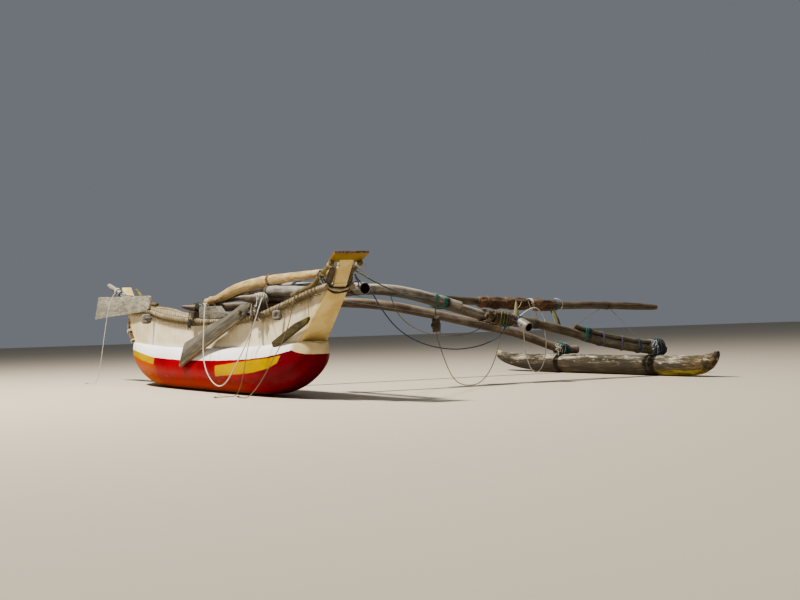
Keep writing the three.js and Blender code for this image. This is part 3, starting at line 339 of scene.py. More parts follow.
# %% Softened copies of flat solids
def softened(node, width, segments, wave, stretch=(0, 1, 2)):
    """A copy of a node with rounded edges. wave pushes its points about, as on hewn wood."""
    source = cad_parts[node]
    mesh = bmesh.new()
    mesh.from_mesh(source.data)
    mesh.transform(source.matrix_world)
    bmesh.ops.remove_doubles(mesh, verts=mesh.verts, dist=0.0004)
    bmesh.ops.dissolve_limit(mesh, angle_limit=math.radians(6), verts=mesh.verts, edges=mesh.edges)
    sharp = [e for e in mesh.edges if len(e.link_faces) == 2 and e.calc_face_angle(0) > math.radians(28)]
    bmesh.ops.bevel(
        mesh, geom=sharp, offset=width, segments=segments, profile=0.6, affect="EDGES", clamp_overlap=True,
    )
    bmesh.ops.triangulate(mesh, faces=[f for f in mesh.faces if len(f.verts) > 4])
    for v in mesh.verts:
        v.co += wave * noise.noise_vector(v.co * 6.0)
    data = bpy.data.meshes.new(node + "_softened")
    mesh.to_mesh(data)
    mesh.free()
    data.shade_smooth()
    piece = placed(node + "_softened", data)
    data.set_sharp_from_angle(angle=math.radians(40))
    store_grain(piece, [[v.co[k] for k in stretch] for v in data.vertices])
    return piece


print("tools for skins are ready")

# %% [markdown]
# Ropes, fringes and finishes are all made of nodes. What comes out of a node is wrapped as a value, so that
# plain signs can be used on it: each plus, minus, times or divide adds a Math node.

# %% Nodes, and values that can be added and multiplied
class Value:
    """What comes out of a node, with the signs that combine it with others or with numbers."""

    def __init__(self, tree, socket):
        self.tree, self.socket = tree, socket

    def joined(self, operation, other=0.5):
        return add_node(self.tree, "ShaderNodeMath", [(0, self), (1, other)], operation=operation)[0]

    def __add__(self, other):
        return self.joined("ADD", other)

    def __sub__(self, other):
        return self.joined("SUBTRACT", other)

    def __mul__(self, other):
        return self.joined("MULTIPLY", other)

    def __truediv__(self, other):
        return self.joined("DIVIDE", other)

    def __abs__(self):
        return self.joined("ABSOLUTE")


def feed(socket, value):
    """Links a value to a socket, or sets the socket to a number or a colour."""
    if isinstance(value, Value):
        value.tree.links.new(value.socket, socket)
    elif isinstance(value, tuple) and socket.type == "RGBA":
        socket.default_value = (*value, 1.0)
    else:
        socket.default_value = value


def add_node(tree, kind, feeds=(), output=0, **settings):
    """A node with its settings and what goes into it. Gives back one of its outputs, and the node."""
    item = tree.nodes.new(kind)
    for key, value in settings.items():
        setattr(item, key, value)
    for key, value in feeds:
        feed(item.inputs[key], value)
    return Value(tree, item.outputs[output]), item


print("values can be added, subtracted, multiplied and divided")

# %% [markdown]
# Rope is three strands laid together. Geometry Nodes sweeps a three-lobed section along any curve and turns
# it once for each lay. The same tree makes cords, lashings and slings, with its own radius and lay each time.

# %% Geometry Nodes: laid rope
def start_tree(name, inputs):
    """A node group with named inputs. Gives back their identifiers, their values and a maker of nodes."""
    group = bpy.data.node_groups.new(name, "GeometryNodeTree")
    group.interface.new_socket(name="Geometry", in_out="INPUT", socket_type="NodeSocketGeometry")
    names = {}
    for label, kind, value in inputs:
        socket = group.interface.new_socket(name=label, in_out="INPUT", socket_type="NodeSocket" + kind)
        if value is not None:
            socket.default_value = value
        names[label] = socket.identifier
    group.interface.new_socket(name="Geometry", in_out="OUTPUT", socket_type="NodeSocketGeometry")
    entry = group.nodes.new("NodeGroupInput")
    given = {socket.name: Value(group, socket) for socket in entry.outputs}

    def make(kind, feeds=(), output=0, **settings):
        return add_node(group, kind, feeds, output, **settings)[0]

    return group, names, given, make


def end_tree(group, made):
    """Sends the last geometry out of a node group."""
    feed(group.nodes.new("NodeGroupOutput").inputs[0], made)


rope_tree, ROPE_INPUTS, given, make = start_tree("laid_rope", [
    ("Radius", "Float", 0.005), ("Lay", "Float", 0.04), ("Steps per lay", "Float", 7.0),
    ("Section points", "Int", 12), ("Material", "Material", None),
])
step_long = given["Lay"] / given["Steps per lay"]
evened = make(
    "GeometryNodeResampleCurve", [("Curve", given["Geometry"]), ("Length", step_long)], mode="LENGTH",
)
turn = make("GeometryNodeSplineParameter", output="Length") / given["Lay"] * (2 * math.pi)
tilted = make("GeometryNodeSetCurveTilt", [("Curve", evened), ("Tilt", turn)])
ring = make("GeometryNodeCurvePrimitiveCircle", [
    ("Resolution", given["Section points"]), ("Radius", given["Radius"]),
], mode="RADIUS")
angle = make("GeometryNodeInputIndex") / given["Section points"] * (6 * math.pi)
lobe = angle.joined("COSINE") * 0.19 + 0.81
spot = make("GeometryNodeInputPosition")
lobed = make("ShaderNodeVectorMath", [("Vector", spot), ("Scale", lobe)], operation="SCALE")
section = make("GeometryNodeSetPosition", [("Geometry", ring), ("Position", lobed)])
swept = make("GeometryNodeCurveToMesh", [("Curve", tilted), ("Profile Curve", section), ("Fill Caps", True)])
rounded = make("GeometryNodeSetShadeSmooth", [("Geometry", swept)])
real = make("GeometryNodeRealizeInstances", [("Geometry", rounded)])
end_tree(rope_tree, make("GeometryNodeSetMaterial", [("Geometry", real), ("Material", given["Material"])]))


def grown_mesh(piece, name, tree, values):
    """Runs a node tree on an object and keeps its result as a plain mesh object."""
    step = piece.modifiers.new(tree.name, "NODES")
    step.node_group = tree
    for identifier, value in values.items():
        step[identifier] = value
    piece.update_tag()
    depsgraph = bpy.context.evaluated_depsgraph_get()
    mesh = bpy.data.meshes.new_from_object(piece.evaluated_get(depsgraph), depsgraph=depsgraph)
    mesh.name = name
    bpy.data.objects.remove(piece, do_unlink=True)
    return placed(name, mesh)


def curve_object(name, runs):
    """A curve object with one open poly spline for each run of points."""
    data = bpy.data.curves.new(name, "CURVE")
    data.dimensions = "3D"
    for run in runs:
        spline = data.splines.new("POLY")
        spline.points.add(len(run) - 1)
        spline.points.foreach_set("co", [c for p in run for c in (*p, 1.0)])
    return placed(name, data)


def rope_mesh(name, runs, diameter, color, lay=3.6, steps=6.0, section=12):
    """Laid rope along one or more runs of places in the model."""
    values = {
        ROPE_INPUTS["Radius"]: diameter / 2, ROPE_INPUTS["Lay"]: diameter * lay,
        ROPE_INPUTS["Steps per lay"]: steps, ROPE_INPUTS["Section points"]: section,
        ROPE_INPUTS["Material"]: ROPE[color],
    }
    return grown_mesh(curve_object(name + "_line", runs), name, rope_tree, values)


def rope(name, runs, diameter, color, stands_for=(), **how):
    """Laid rope that rides on the canoe."""
    return keep(rope_mesh(name, runs, diameter, color, **how), stands_for=stands_for)


print("the rope tree has", len(rope_tree.nodes), "nodes")

# %% [markdown]
# A lashing is one long rope wound round an oval. Each turn lies beside the last with a little slack, and a
# second layer can cross the first at a slant.

# %% Turns of rope round an oval
TURN_STEPS = 16


def turns(start, end, wide, high, count, seed=1, slack=0.003, slant=0.0, power=1.0):
    """Places of a winding from start to end. power over 1 makes the oval squarer."""
    rng = random.Random(seed)
    a, b = at(*start), at(*end)
    along = (b - a).normalized()
    across = along.cross(Vector((0, 0, 1))).normalized()
    up = across.cross(along)
    total = count * TURN_STEPS
    loose = [rng.uniform(-slack, slack) for _ in range(count + 3)]
    run = []
    for k in range(total + 1):
        turn_share = k / TURN_STEPS
        n = int(turn_share)
        r = loose[n] + (loose[n + 1] - loose[n]) * (turn_share - n)
        angle_now = 2 * math.pi * turn_share
        c, s = math.cos(angle_now), math.sin(angle_now)
        cc = math.copysign(abs(c) ** (1 / power), c)
        ss = math.copysign(abs(s) ** (1 / power), s)
        centre = a.lerp(b, k / total)
        run.append(centre + across * (wide + r) * cc + up * (high + r) * ss + along * slant * c)
    return run


print("a winding of five turns has", len(turns((0, 0, 0), (0, 1, 0), 0.05, 0.05, 5)), "places")

# %% [markdown]
# Every finish is a node tree of its own. A small recipe class keeps each one short, with one word for each
# thing that the finishes use again and again: noise, a band, a ramp of colours, a mix.

# %% A recipe for finishes
class Recipe:
    """Builds one material's nodes."""

    def __init__(self, name):
        self.material = bpy.data.materials.new(name)
        self.material.use_nodes = True
        self.tree = self.material.node_tree
        self.place, source = self.node("ShaderNodeTexCoord", output="Object")
        self.facing = Value(self.tree, source.outputs["Normal"])

    def node(self, kind, feeds=(), output=0, **settings):
        return add_node(self.tree, kind, feeds, output, **settings)

    def stored(self, name, output):
        """What each point of the mesh has stored under a name."""
        return self.node("ShaderNodeAttribute", (), output, attribute_name=name)[0]

    def grain(self):
        """Where a point lies in its wood: across, up and along."""
        return self.stored("grain", "Vector")

    def scaled(self, vector, scale):
        return self.node("ShaderNodeVectorMath", [(0, vector), (1, scale)], operation="MULTIPLY")[0]

    def noise(self, vector, scale, detail=4.0, rough=0.55, distortion=0.0):
        feeds = [
            ("Vector", vector), ("Scale", scale), ("Detail", detail), ("Roughness", rough),
            ("Distortion", distortion),
        ]
        return self.node("ShaderNodeTexNoise", feeds, "Fac")[0]

    def band(self, value, low, high):
        """0 below low, 1 above high, smooth between. Low over high turns it round."""
        feeds = [("Value", value), ("From Min", min(low, high)), ("From Max", max(low, high))]
        if low > high:
            feeds += [("To Min", 1.0), ("To Max", 0.0)]
        return self.node("ShaderNodeMapRange", feeds, interpolation_type="SMOOTHSTEP")[0]

    def ramp(self, value, *stops):
        color, item = self.node("ShaderNodeValToRGB", [(0, value)])
        bar = item.color_ramp.elements
        while len(bar) < len(stops):
            bar.new(0.5)
        for element, (position, stop_color) in zip(bar, stops):
            element.position = position
            element.color = (*stop_color, 1.0)
        return color

    def mix(self, share, a, b):
        return self.node("ShaderNodeMix", [(0, share), (6, a), (7, b)], 2, data_type="RGBA")[0]

    def axes(self, vector):
        _, item = self.node("ShaderNodeSeparateXYZ", [(0, vector)])
        return [Value(self.tree, output) for output in item.outputs]

    def profile(self, x, rows):
        """A height that follows a table along the hull, from a curve node."""
        low, high = LOG_TABLE_ENDS
        height, item = self.node("ShaderNodeFloatCurve", [("Value", (x - low) / (high - low))])
        curve = item.mapping.curves[0]
        while len(curve.points) < len(rows):
            curve.points.new(0.5, 0.5)
        for point, (place, level) in zip(curve.points, rows):
            point.location = ((place - low) / (high - low), level / LOG_TABLE_TOP)
            point.handle_type = "VECTOR"
        item.mapping.update()
        return height * LOG_TABLE_TOP

    def finish(self, color, rough, height=None, strength=0.4, distance=0.004, sheen=0.0, shine=0.5):
        feeds = [
            ("Specular IOR Level", shine), ("Base Color", color), ("Roughness", rough),
            ("Sheen Weight", sheen),
        ]
        if height is not None:
            bump = [("Strength", strength), ("Distance", distance), ("Height", height)]
            feeds.append(("Normal", self.node("ShaderNodeBump", bump)[0]))
        for key, value in feeds:
            feed(self.tree.nodes["Principled BSDF"].inputs[key], value)
        return self.material


# %% [markdown]
# Old wood outdoors goes grey in the ridges and stays dark in the cracks. Fibres are fine noise drawn out
# along the grain, and checks are the thin places where a slower noise crosses one half. What faces the sky
# is painted lighter, partly as bleaching and partly as painted highlight, and what faces the ground gets
# painted shade.

# %% Weathered wood
def wood(
    name, dark, mid, light, fibre=150.0, checks=0.5, stain=None, stain_at=0.6, rough=0.85, bump=0.5, moss=0.0,
    bleach_highlight_and_shade=0.0,
):
    """Weathered wood with grain along the third axis of the stored grain."""
    r = Recipe(name)
    where = r.grain()
    drawn = r.scaled(where, (1.0, 1.0, 0.045))
    fibres = r.noise(drawn, fibre, 6.0, 0.62)
    bands = r.noise(r.scaled(where, (1.0, 1.0, 0.1)), 26.0, 3.0, 0.5, 0.6)
    patches = r.noise(where, 4.2, 4.0, 0.6)
    tone = fibres * 0.55 + bands * 0.45
    color = r.ramp(tone, (0.3, dark), (0.5, mid), (0.68, light))
    color = r.mix(r.band(patches, 0.42, 0.66), color, r.mix(0.55, color, light))
    if stain:
        blot = r.noise(r.scaled(where, (1.0, 1.0, 0.35)), 7.0, 5.0, 0.65)
        color = r.mix(r.band(blot, stain_at - 0.06, stain_at + 0.1), color, r.mix(0.75, color, stain))
    if bleach_highlight_and_shade:
        # Painted light: faces towards the sky are painted lighter, partly sun bleaching and partly painted
        # highlight; faces towards the ground are painted darker as shade.
        upwards = r.axes(r.facing)[2] + (patches - 0.5) * 0.9
        color = r.mix(r.band(upwards, 0.2, 0.95) * bleach_highlight_and_shade, color, light)
        color = r.mix(r.band(upwards, 0.1, -0.7) * bleach_highlight_and_shade, color, tuple(c * 0.7 for c in dark))
    slow = r.noise(r.scaled(where, (1.0, 1.0, 0.05)), 44.0, 3.0, 0.5, 0.3)
    gap = abs(slow - 0.5)
    crack = r.band(gap, 0.016, 0.003) * checks
    color = r.mix(crack, color, tuple(c * 0.22 for c in dark))
    if moss:
        green = r.band(r.noise(where, 9.0, 5.0, 0.7), 0.62, 0.74)
        color = r.mix(green * moss, color, (0.1, 0.13, 0.03))
    height = fibres + bands * 0.8 - crack * 1.4
    return r.finish(color, fibres * 0.2 + (rough - 0.12), height, bump, 0.003)


# bleach_highlight_and_shade sets how much tops are painted lighter and undersides painted darker.
FINISH = {
    "rail": wood(
        "rail_wood", (0.08, 0.062, 0.032), (0.21, 0.17, 0.1), (0.42, 0.36, 0.24), stain=(0.13, 0.1, 0.03),
        bleach_highlight_and_shade=0.5,
    ),
    "horn": wood(
        "horn_wood", (0.05, 0.035, 0.012), (0.13, 0.1, 0.035), (0.25, 0.2, 0.08), fibre=190.0, moss=0.5,
    ),
    "silver": wood(
        "silver_wood", (0.07, 0.065, 0.055), (0.17, 0.16, 0.14), (0.36, 0.34, 0.31), stain=(0.11, 0.08, 0.05),
        bleach_highlight_and_shade=0.5,
    ),
    "boom": wood(
        "boom_wood", (0.06, 0.045, 0.032), (0.17, 0.14, 0.105), (0.48, 0.44, 0.37), stain=(0.1, 0.065, 0.04),
        bleach_highlight_and_shade=0.75,
    ),
    "outer": wood(
        "outer_boom_wood", (0.03, 0.022, 0.013), (0.09, 0.07, 0.042), (0.26, 0.22, 0.15),
        stain=(0.08, 0.055, 0.02), bleach_highlight_and_shade=0.6,
    ),
    "aft": wood(
        "aft_boom_wood", (0.05, 0.035, 0.022), (0.13, 0.095, 0.065), (0.33, 0.27, 0.2),
        stain=(0.16, 0.07, 0.03), bleach_highlight_and_shade=0.7,
    ),
    "spar": wood(
        "peeled_spar", (0.24, 0.145, 0.055), (0.44, 0.31, 0.13), (0.62, 0.5, 0.27), fibre=110.0, checks=0.9,
        stain=(0.24, 0.12, 0.05), stain_at=0.62, rough=0.62, bump=0.3,
    ),
    "dark": wood("dark_wood", (0.035, 0.026, 0.018), (0.095, 0.07, 0.045), (0.2, 0.155, 0.11), checks=0.7),
    "olive": wood(
        "olive_board", (0.012, 0.009, 0.002), (0.045, 0.034, 0.004), (0.13, 0.1, 0.012), checks=0.9, moss=0.8,
        bump=0.7,
    ),
    "blade": wood(
        "pale_blade", (0.13, 0.118, 0.088), (0.25, 0.235, 0.19), (0.42, 0.4, 0.335), checks=0.7,
        stain=(0.12, 0.1, 0.06),
    ),
    "block": wood(
        "block_wood", (0.04, 0.036, 0.027), (0.11, 0.1, 0.078), (0.25, 0.23, 0.19), checks=0.9, bump=0.7,
        bleach_highlight_and_shade=0.3,
    ),
    "chock": wood("chock_wood", (0.045, 0.035, 0.022), (0.12, 0.09, 0.06), (0.24, 0.19, 0.14), checks=0.8),
    "peg": wood("peg_wood", (0.16, 0.14, 0.07), (0.33, 0.3, 0.16), (0.5, 0.46, 0.29), rough=0.7),
}
print(len(FINISH), "woods")

# %% [markdown]
# The side board is three planks side by side. Its grain is stored in its own directions, so the dark splits
# between the planks and the tan lower edge run along it at any angle of the board.

# %% The side board's planks
def three_planks():
    r = Recipe("side_board_planks")
    where = r.grain()
    across, depth, along = r.axes(where)
    fibres = r.noise(r.scaled(where, (1.0, 1.0, 0.045)), 120.0, 6.0, 0.62)
    bands = r.noise(r.scaled(where, (1.0, 1.0, 0.09)), 30.0, 4.0, 0.55, 0.5)
    wander = (r.noise(r.scaled(where, (0.0, 0.0, 1.0)), 3.5, 3.0) - 0.5) * 0.05
    tone = fibres * 0.5 + bands * 0.5
    color = r.ramp(tone, (0.34, (0.022, 0.018, 0.012)), (0.5, (0.08, 0.068, 0.047)),
        (0.66, (0.2, 0.18, 0.14)))
    level = across + wander
    color = r.mix(r.band(level, -0.045, -0.06) * 0.4, color, (0.19, 0.175, 0.145))
    tan = r.ramp(bands, (0.4, (0.1, 0.068, 0.022)), (0.6, (0.22, 0.155, 0.062)))
    color = r.mix(r.band(level, 0.046, 0.066) * 0.6, color, tan)
    for place, width in ((-0.05, 0.0045), (0.012, 0.003), (0.048, 0.0022)):
        split = r.band(abs(level - place), width, width * 0.4)
        color = r.mix(split * 0.9, color, (0.012, 0.01, 0.007))
    rot = r.band(along, 1.35, 1.75) * r.band(r.noise(where, 11.0, 5.0, 0.7), 0.46, 0.6)
    color = r.mix(rot * 0.6, color, (0.035, 0.028, 0.016))
    return r.finish(color, 0.86, fibres + bands * 0.8, 0.8, 0.003)


FINISH["board"] = three_planks()

# %% [markdown]
# The float is a special case. Its top is a flaky grey-white and it is darker towards the bottom, a dull
# yellow streak runs low near the bow end, and a patch of rot shows at its tip.

# %% The float's wood
def float_wood():
    r = Recipe("float_wood")
    x, y, z = r.axes(r.place)
    where = r.grain()
    fibres = r.noise(r.scaled(where, (1.0, 1.0, 0.04)), 130.0, 6.0, 0.62)
    bands = r.noise(r.scaled(where, (1.0, 1.0, 0.08)), 18.0, 4.0, 0.55, 0.5)
    tone = fibres * 0.5 + bands * 0.5
    pale = r.ramp(tone, (0.38, (0.045, 0.036, 0.022)), (0.5, (0.17, 0.145, 0.105)), (0.61, (0.5, 0.46, 0.37)))
    darker_tone = r.ramp(tone, (0.36, (0.014, 0.01, 0.005)), (0.52, (0.05, 0.037, 0.019)),
        (0.68, (0.17, 0.13, 0.075)))
    edge = z + (bands - 0.5) * 0.16
    tall = r.noise(r.scaled(r.place, (0.35, 1.0, 1.6)), 5.0, 5.0, 0.7)
    edge = edge + (tall - 0.5) * 0.3
    # Darker below a wavy height and a flaky grey-white above it.
    color = r.mix(r.band(edge, 0.16, 0.22), darker_tone, pale)
    tip = r.band(x, 2.35 + HULL.x, 2.75 + HULL.x)
    color = r.mix(tip * 0.65, color, r.ramp(fibres, (0.35, (0.1, 0.06, 0.02)), (0.65, (0.31, 0.21, 0.08))))
    low = z + (bands - 0.5) * 0.06
    streak = r.band(x, 1.85 + HULL.x, 2.15 + HULL.x) * r.band(low, 0.095, 0.07)
    streak = streak * r.band(x, 2.95 + HULL.x, 2.75 + HULL.x)
    color = r.mix(streak * 0.85, color, (0.33, 0.26, 0.012))
    rot = r.band(x, 2.66 + HULL.x, 2.84 + HULL.x) * r.band(r.noise(where, 14.0, 5.0, 0.7), 0.42, 0.56)
    color = r.mix(rot * 0.9, color, (0.022, 0.014, 0.009))
    slow = r.noise(r.scaled(where, (1.0, 1.0, 0.045)), 30.0, 3.0, 0.5, 0.3)
    crack = r.band(abs(slow - 0.5), 0.012, 0.002)
    color = r.mix(crack, color, (0.05, 0.045, 0.04))
    flakes = r.noise(r.scaled(where, (1.0, 1.0, 0.22)), 16.0, 6.0, 0.7)
    color = r.mix(r.band(flakes, 0.49, 0.42) * 0.75, color, (0.035, 0.026, 0.013))
    peeled = r.band(flakes, 0.57, 0.62) * r.band(edge, 0.1, 0.2)
    color = r.mix(peeled * 0.7, color, (0.52, 0.49, 0.41))
    height = fibres - crack * 1.5 + flakes
    return r.finish(color, 0.86, height, 0.6, 0.004)


FINISH["float"] = float_wood()

# %% [markdown]
# The hull's red has a glossy enamel look above and fades lower down to an orange that is partly dust and
# partly painted warm light thrown up by the sand.
# White covers the log's shelf, an ochre flash runs along the side and another covers the stern quarter, and
# on the log's bow face above the red the white is painted as a shaded tan. The edges between the colours
# follow tables.

# %% The painted log
LOG_TABLE_ENDS, LOG_TABLE_TOP = (-3.2, 3.2), 0.6
RED_TOP = [
    (-3.2, 0.492), (-3.02, 0.481), (-1.57, 0.379), (-0.27, 0.358), (0.86, 0.367), (1.73, 0.388),
    (2.22, 0.416), (2.54, 0.452), (2.78, 0.486), (2.86, 0.466), (3.0, 0.448), (3.2, 0.44),
]
FLASH_TOP = [
    (-3.2, 0.3), (0.74, 0.3), (0.86, 0.314), (1.32, 0.345), (1.74, 0.374), (2.32, 0.408), (2.56, 0.434),
    (3.2, 0.45),
]
FLASH_LOW = [(-3.2, 0.19), (0.74, 0.19), (1.32, 0.22), (1.95, 0.256), (2.3, 0.305), (2.49, 0.36),
    (2.57, 0.45), (3.2, 0.6)]
QUARTER_LOW = [(-3.2, 0.44), (-3.01, 0.413), (-2.3, 0.345), (-1.575, 0.295), (-1.5, 0.29), (3.2, 0.29)]


def painted_log():
    r = Recipe("painted_log")
    x, y, z = r.axes(r.place)
    x = x - HULL.x
    wobble = (r.noise(r.place, 7.0, 3.0) - 0.5) * 0.012
    level = z + wobble
    fine = r.noise(r.place, 60.0, 6.0, 0.65)
    cloudy = r.noise(r.scaled(r.place, (0.5, 1.0, 1.6)), 2.6, 5.0, 0.6)
    drawn = r.noise(r.scaled(r.place, (0.25, 1.0, 1.0)), 24.0, 5.0, 0.6)

    red = r.ramp(cloudy, (0.3, (0.19, 0.0, 0.004)), (0.52, (0.29, 0.0, 0.006)), (0.72, (0.37, 0.001, 0.008)))
    # Dust and painted light: lower down the red turns orange, partly sand dust and partly painted warm light
    # from the sand, none of it towards the bow.
    dust_and_bounce_level = level + (drawn - 0.5) * 0.18
    dust_and_sand_bounce = r.band(dust_and_bounce_level, 0.23, 0.05) * r.band(x, 2.1, 0.9)
    red = r.mix(dust_and_sand_bounce * 0.6, red, (0.31, 0.046, 0.001))
    # Painted shade: the red is darkened towards the bow, whose faces turn away from the sun.
    red = r.mix(r.band(x, 1.4, 2.5) * 0.85, red, (0.115, 0.0, 0.008))
    red = r.mix(r.band(drawn, 0.63, 0.72) * 0.3, red, (0.34, 0.05, 0.01))

    white = r.ramp(cloudy, (0.3, (0.84, 0.83, 0.8)), (0.6, (0.93, 0.93, 0.91)))
    white = r.mix(r.band(r.noise(r.place, 12.0, 5.0, 0.7), 0.56, 0.72) * 0.4, white, (0.5, 0.44, 0.34))
    tan = r.ramp(cloudy, (0.3, (0.5, 0.41, 0.24)), (0.66, (0.66, 0.56, 0.35)))
    # Painted shade: on the bow face, which faces away from the sun, the white shelf is painted tan.
    white = r.mix(r.band(x, 2.72, 2.84), white, tan)
    ochre = r.ramp(cloudy, (0.3, (0.36, 0.22, 0.0)), (0.6, (0.48, 0.32, 0.0)))
    ochre = r.mix(r.band(fine, 0.58, 0.68) * 0.5, ochre, (0.4, 0.12, 0.03))

    def above(table, soft=0.004):
        """1 above a table's height and 0 below it. A soft edge under 0 turns it round."""
        return r.band(level - r.profile(x, table), -soft, soft)

    flash = above(FLASH_LOW) * above(FLASH_TOP, -0.004) * r.band(x, 0.8, 0.83)
    quarter = above(QUARTER_LOW) * r.band(x, -1.55, -1.58)
    color = r.mix(flash.joined("MAXIMUM", quarter), red, ochre)
    ragged = x + (r.noise(r.place, 5.0, 5.0, 0.65) - 0.5) * 0.9
    fade = r.band(ragged, -1.2, -2.0) * above(QUARTER_LOW, -0.004) * 0.65
    color = r.mix(fade, color, (0.46, 0.13, 0.006))
    paint_edge = above(RED_TOP, 0.003)
    color = r.mix(paint_edge, color, white)

    hollow = r.stored("within", "Fac") * r.band(abs(x), 2.66, 2.64)
    bare = r.ramp(drawn, (0.3, (0.1, 0.075, 0.05)), (0.62, (0.3, 0.24, 0.17)))
    color = r.mix(hollow, color, bare)

    chip = r.band(r.noise(r.place, 34.0, 8.0, 0.75), 0.665, 0.69)
    color = r.mix(chip * 0.8, color, (0.24, 0.17, 0.1))
    scratch = r.noise(r.scaled(r.place, (0.06, 1.0, 1.0)), 90.0, 4.0, 0.6)
    color = r.mix(r.band(scratch, 0.65, 0.71) * 0.18, color, (0.62, 0.36, 0.2))
    keel_dust = z + (fine - 0.5) * 0.1
    color = r.mix(r.band(keel_dust, 0.05, 0.012) * 0.65, color, (0.46, 0.34, 0.19))
    rough = cloudy * 0.35 + (chip + r.band(dust_and_bounce_level, 0.22, 0.1)) * 0.22
    height = drawn * 0.8 - chip * 0.5
    return r.finish(color, rough + 0.22, height, 0.22, 0.004, shine=0.05)


FINISH["log"] = painted_log()

# %% [markdown]
# The plank sides are off-white with grey and rust-brown runs that come down from the stitching, and a warm
# ochre tint near the stern. The end planks are a flat tan with long faint grain and worn edges.

# %% Painted planks
def painted_planks():
    r = Recipe("painted_planks")
    x, y, z = r.axes(r.place)
    x = x - HULL.x
    cloudy = r.noise(r.scaled(r.place, (0.6, 1.0, 1.3)), 3.1, 5.0, 0.6)
    runs = r.noise(r.scaled(r.place, (1.0, 1.0, 0.07)), 30.0, 5.0, 0.65)
    fine = r.noise(r.place, 70.0, 6.0, 0.7)
    color = r.ramp(cloudy, (0.28, (0.56, 0.48, 0.31)), (0.5, (0.69, 0.62, 0.45)), (0.7, (0.79, 0.74, 0.6)))
    stern = r.band(x, -1.9, -2.7)
    color = r.mix(stern * 0.35, color, (0.6, 0.48, 0.26))
    high = r.band(z + runs * 0.35, 0.8, 1.12)
    drip = r.band(runs, 0.54, 0.7) * (high * 0.62 + 0.12)
    color = r.mix(drip, color, (0.36, 0.28, 0.19))
    pale = r.band(r.noise(r.scaled(r.place, (1.0, 1.0, 0.1)), 17.0, 4.0, 0.6), 0.56, 0.7)
    color = r.mix(pale * 0.5, color, (0.86, 0.84, 0.78))
    foot = r.band(z + cloudy * 0.06, 0.6, 0.55)
    color = r.mix(foot * 0.35, color, (0.84, 0.83, 0.8))
    chip = r.band(r.noise(r.place, 38.0, 8.0, 0.75), 0.655, 0.68)
    color = r.mix(chip * 0.75, color, (0.25, 0.19, 0.13))
    spots, _ = r.node("ShaderNodeTexVoronoi", [("Vector", r.place), ("Scale", 9.0)], "Distance")
    speck = r.band(spots, 0.055, 0.035)
    color = r.mix(speck * 0.6, color, (0.22, 0.14, 0.08))
    height = fine * 0.5 + r.noise(r.scaled(r.place, (0.05, 1, 1)), 60.0) * 0.8
    return r.finish(color, cloudy * 0.3 + 0.36, height, 0.25, 0.003)


def tan_planks(name, dark, light, darker_tone, front=None):
    """Flat paint on a plank with long grain under it. The edge that faces forward can be weathered."""
    r = Recipe(name)
    where = r.grain()
    long = r.noise(r.scaled(where, (1.0, 1.0, 0.06)), 40.0, 5.0, 0.6)
    cloudy = r.noise(where, 4.0, 5.0, 0.6)
    color = r.mix(r.band(cloudy, 0.35, 0.65), dark, light)
    color = r.mix(r.band(long, 0.52, 0.72) * 0.35, color, darker_tone)
    chip = r.band(r.noise(r.place, 42.0, 8.0, 0.75), 0.655, 0.68)
    color = r.mix(chip * 0.8, color, (0.2, 0.14, 0.08))
    grime = r.band(r.noise(r.place, 9.0, 6.0, 0.7), 0.58, 0.75)
    color = r.mix(grime * 0.4, color, darker_tone)
    if front:
        weathered = r.mix(r.band(r.noise(r.place, 40.0), 0.42, 0.6), front, tuple(c * 2.2 for c in front))
        color = r.mix(r.band(r.axes(r.facing)[0], 0.6, 0.8), color, weathered)
    return r.finish(color, cloudy * 0.3 + 0.38, long, 0.3, 0.003)


FINISH["planks"] = painted_planks()
FINISH["tan"] = tan_planks("tan_planks", (0.58, 0.43, 0.175), (0.71, 0.575, 0.275), (0.42, 0.29, 0.11))
FINISH["cap"] = tan_planks("ochre_cap", (0.15, 0.088, 0.002), (0.26, 0.165, 0.004), (0.08, 0.05, 0.02),
    (0.13, 0.07, 0.06))

# %% [markdown]
# Ropes share one recipe: fibres across the strands, dirt in patches, and a little sheen. Plastic pipe is
# chalky with grime, and cloth has a woven bump.

# %% Ropes, pipe and cloth
def rope_finish(color_name, dark, light, dirt):
    r = Recipe(color_name + "_rope")
    hair = r.noise(r.place, 420.0, 4.0, 0.7)
    patch = r.noise(r.place, 11.0, 4.0, 0.6)
    color = r.mix(r.band(hair, 0.35, 0.65), dark, light)
    color = r.mix(r.band(patch, 0.46, 0.66) * 0.4, color, dirt)
    return r.finish(color, 0.88, hair, 0.5, 0.0015, sheen=0.3)


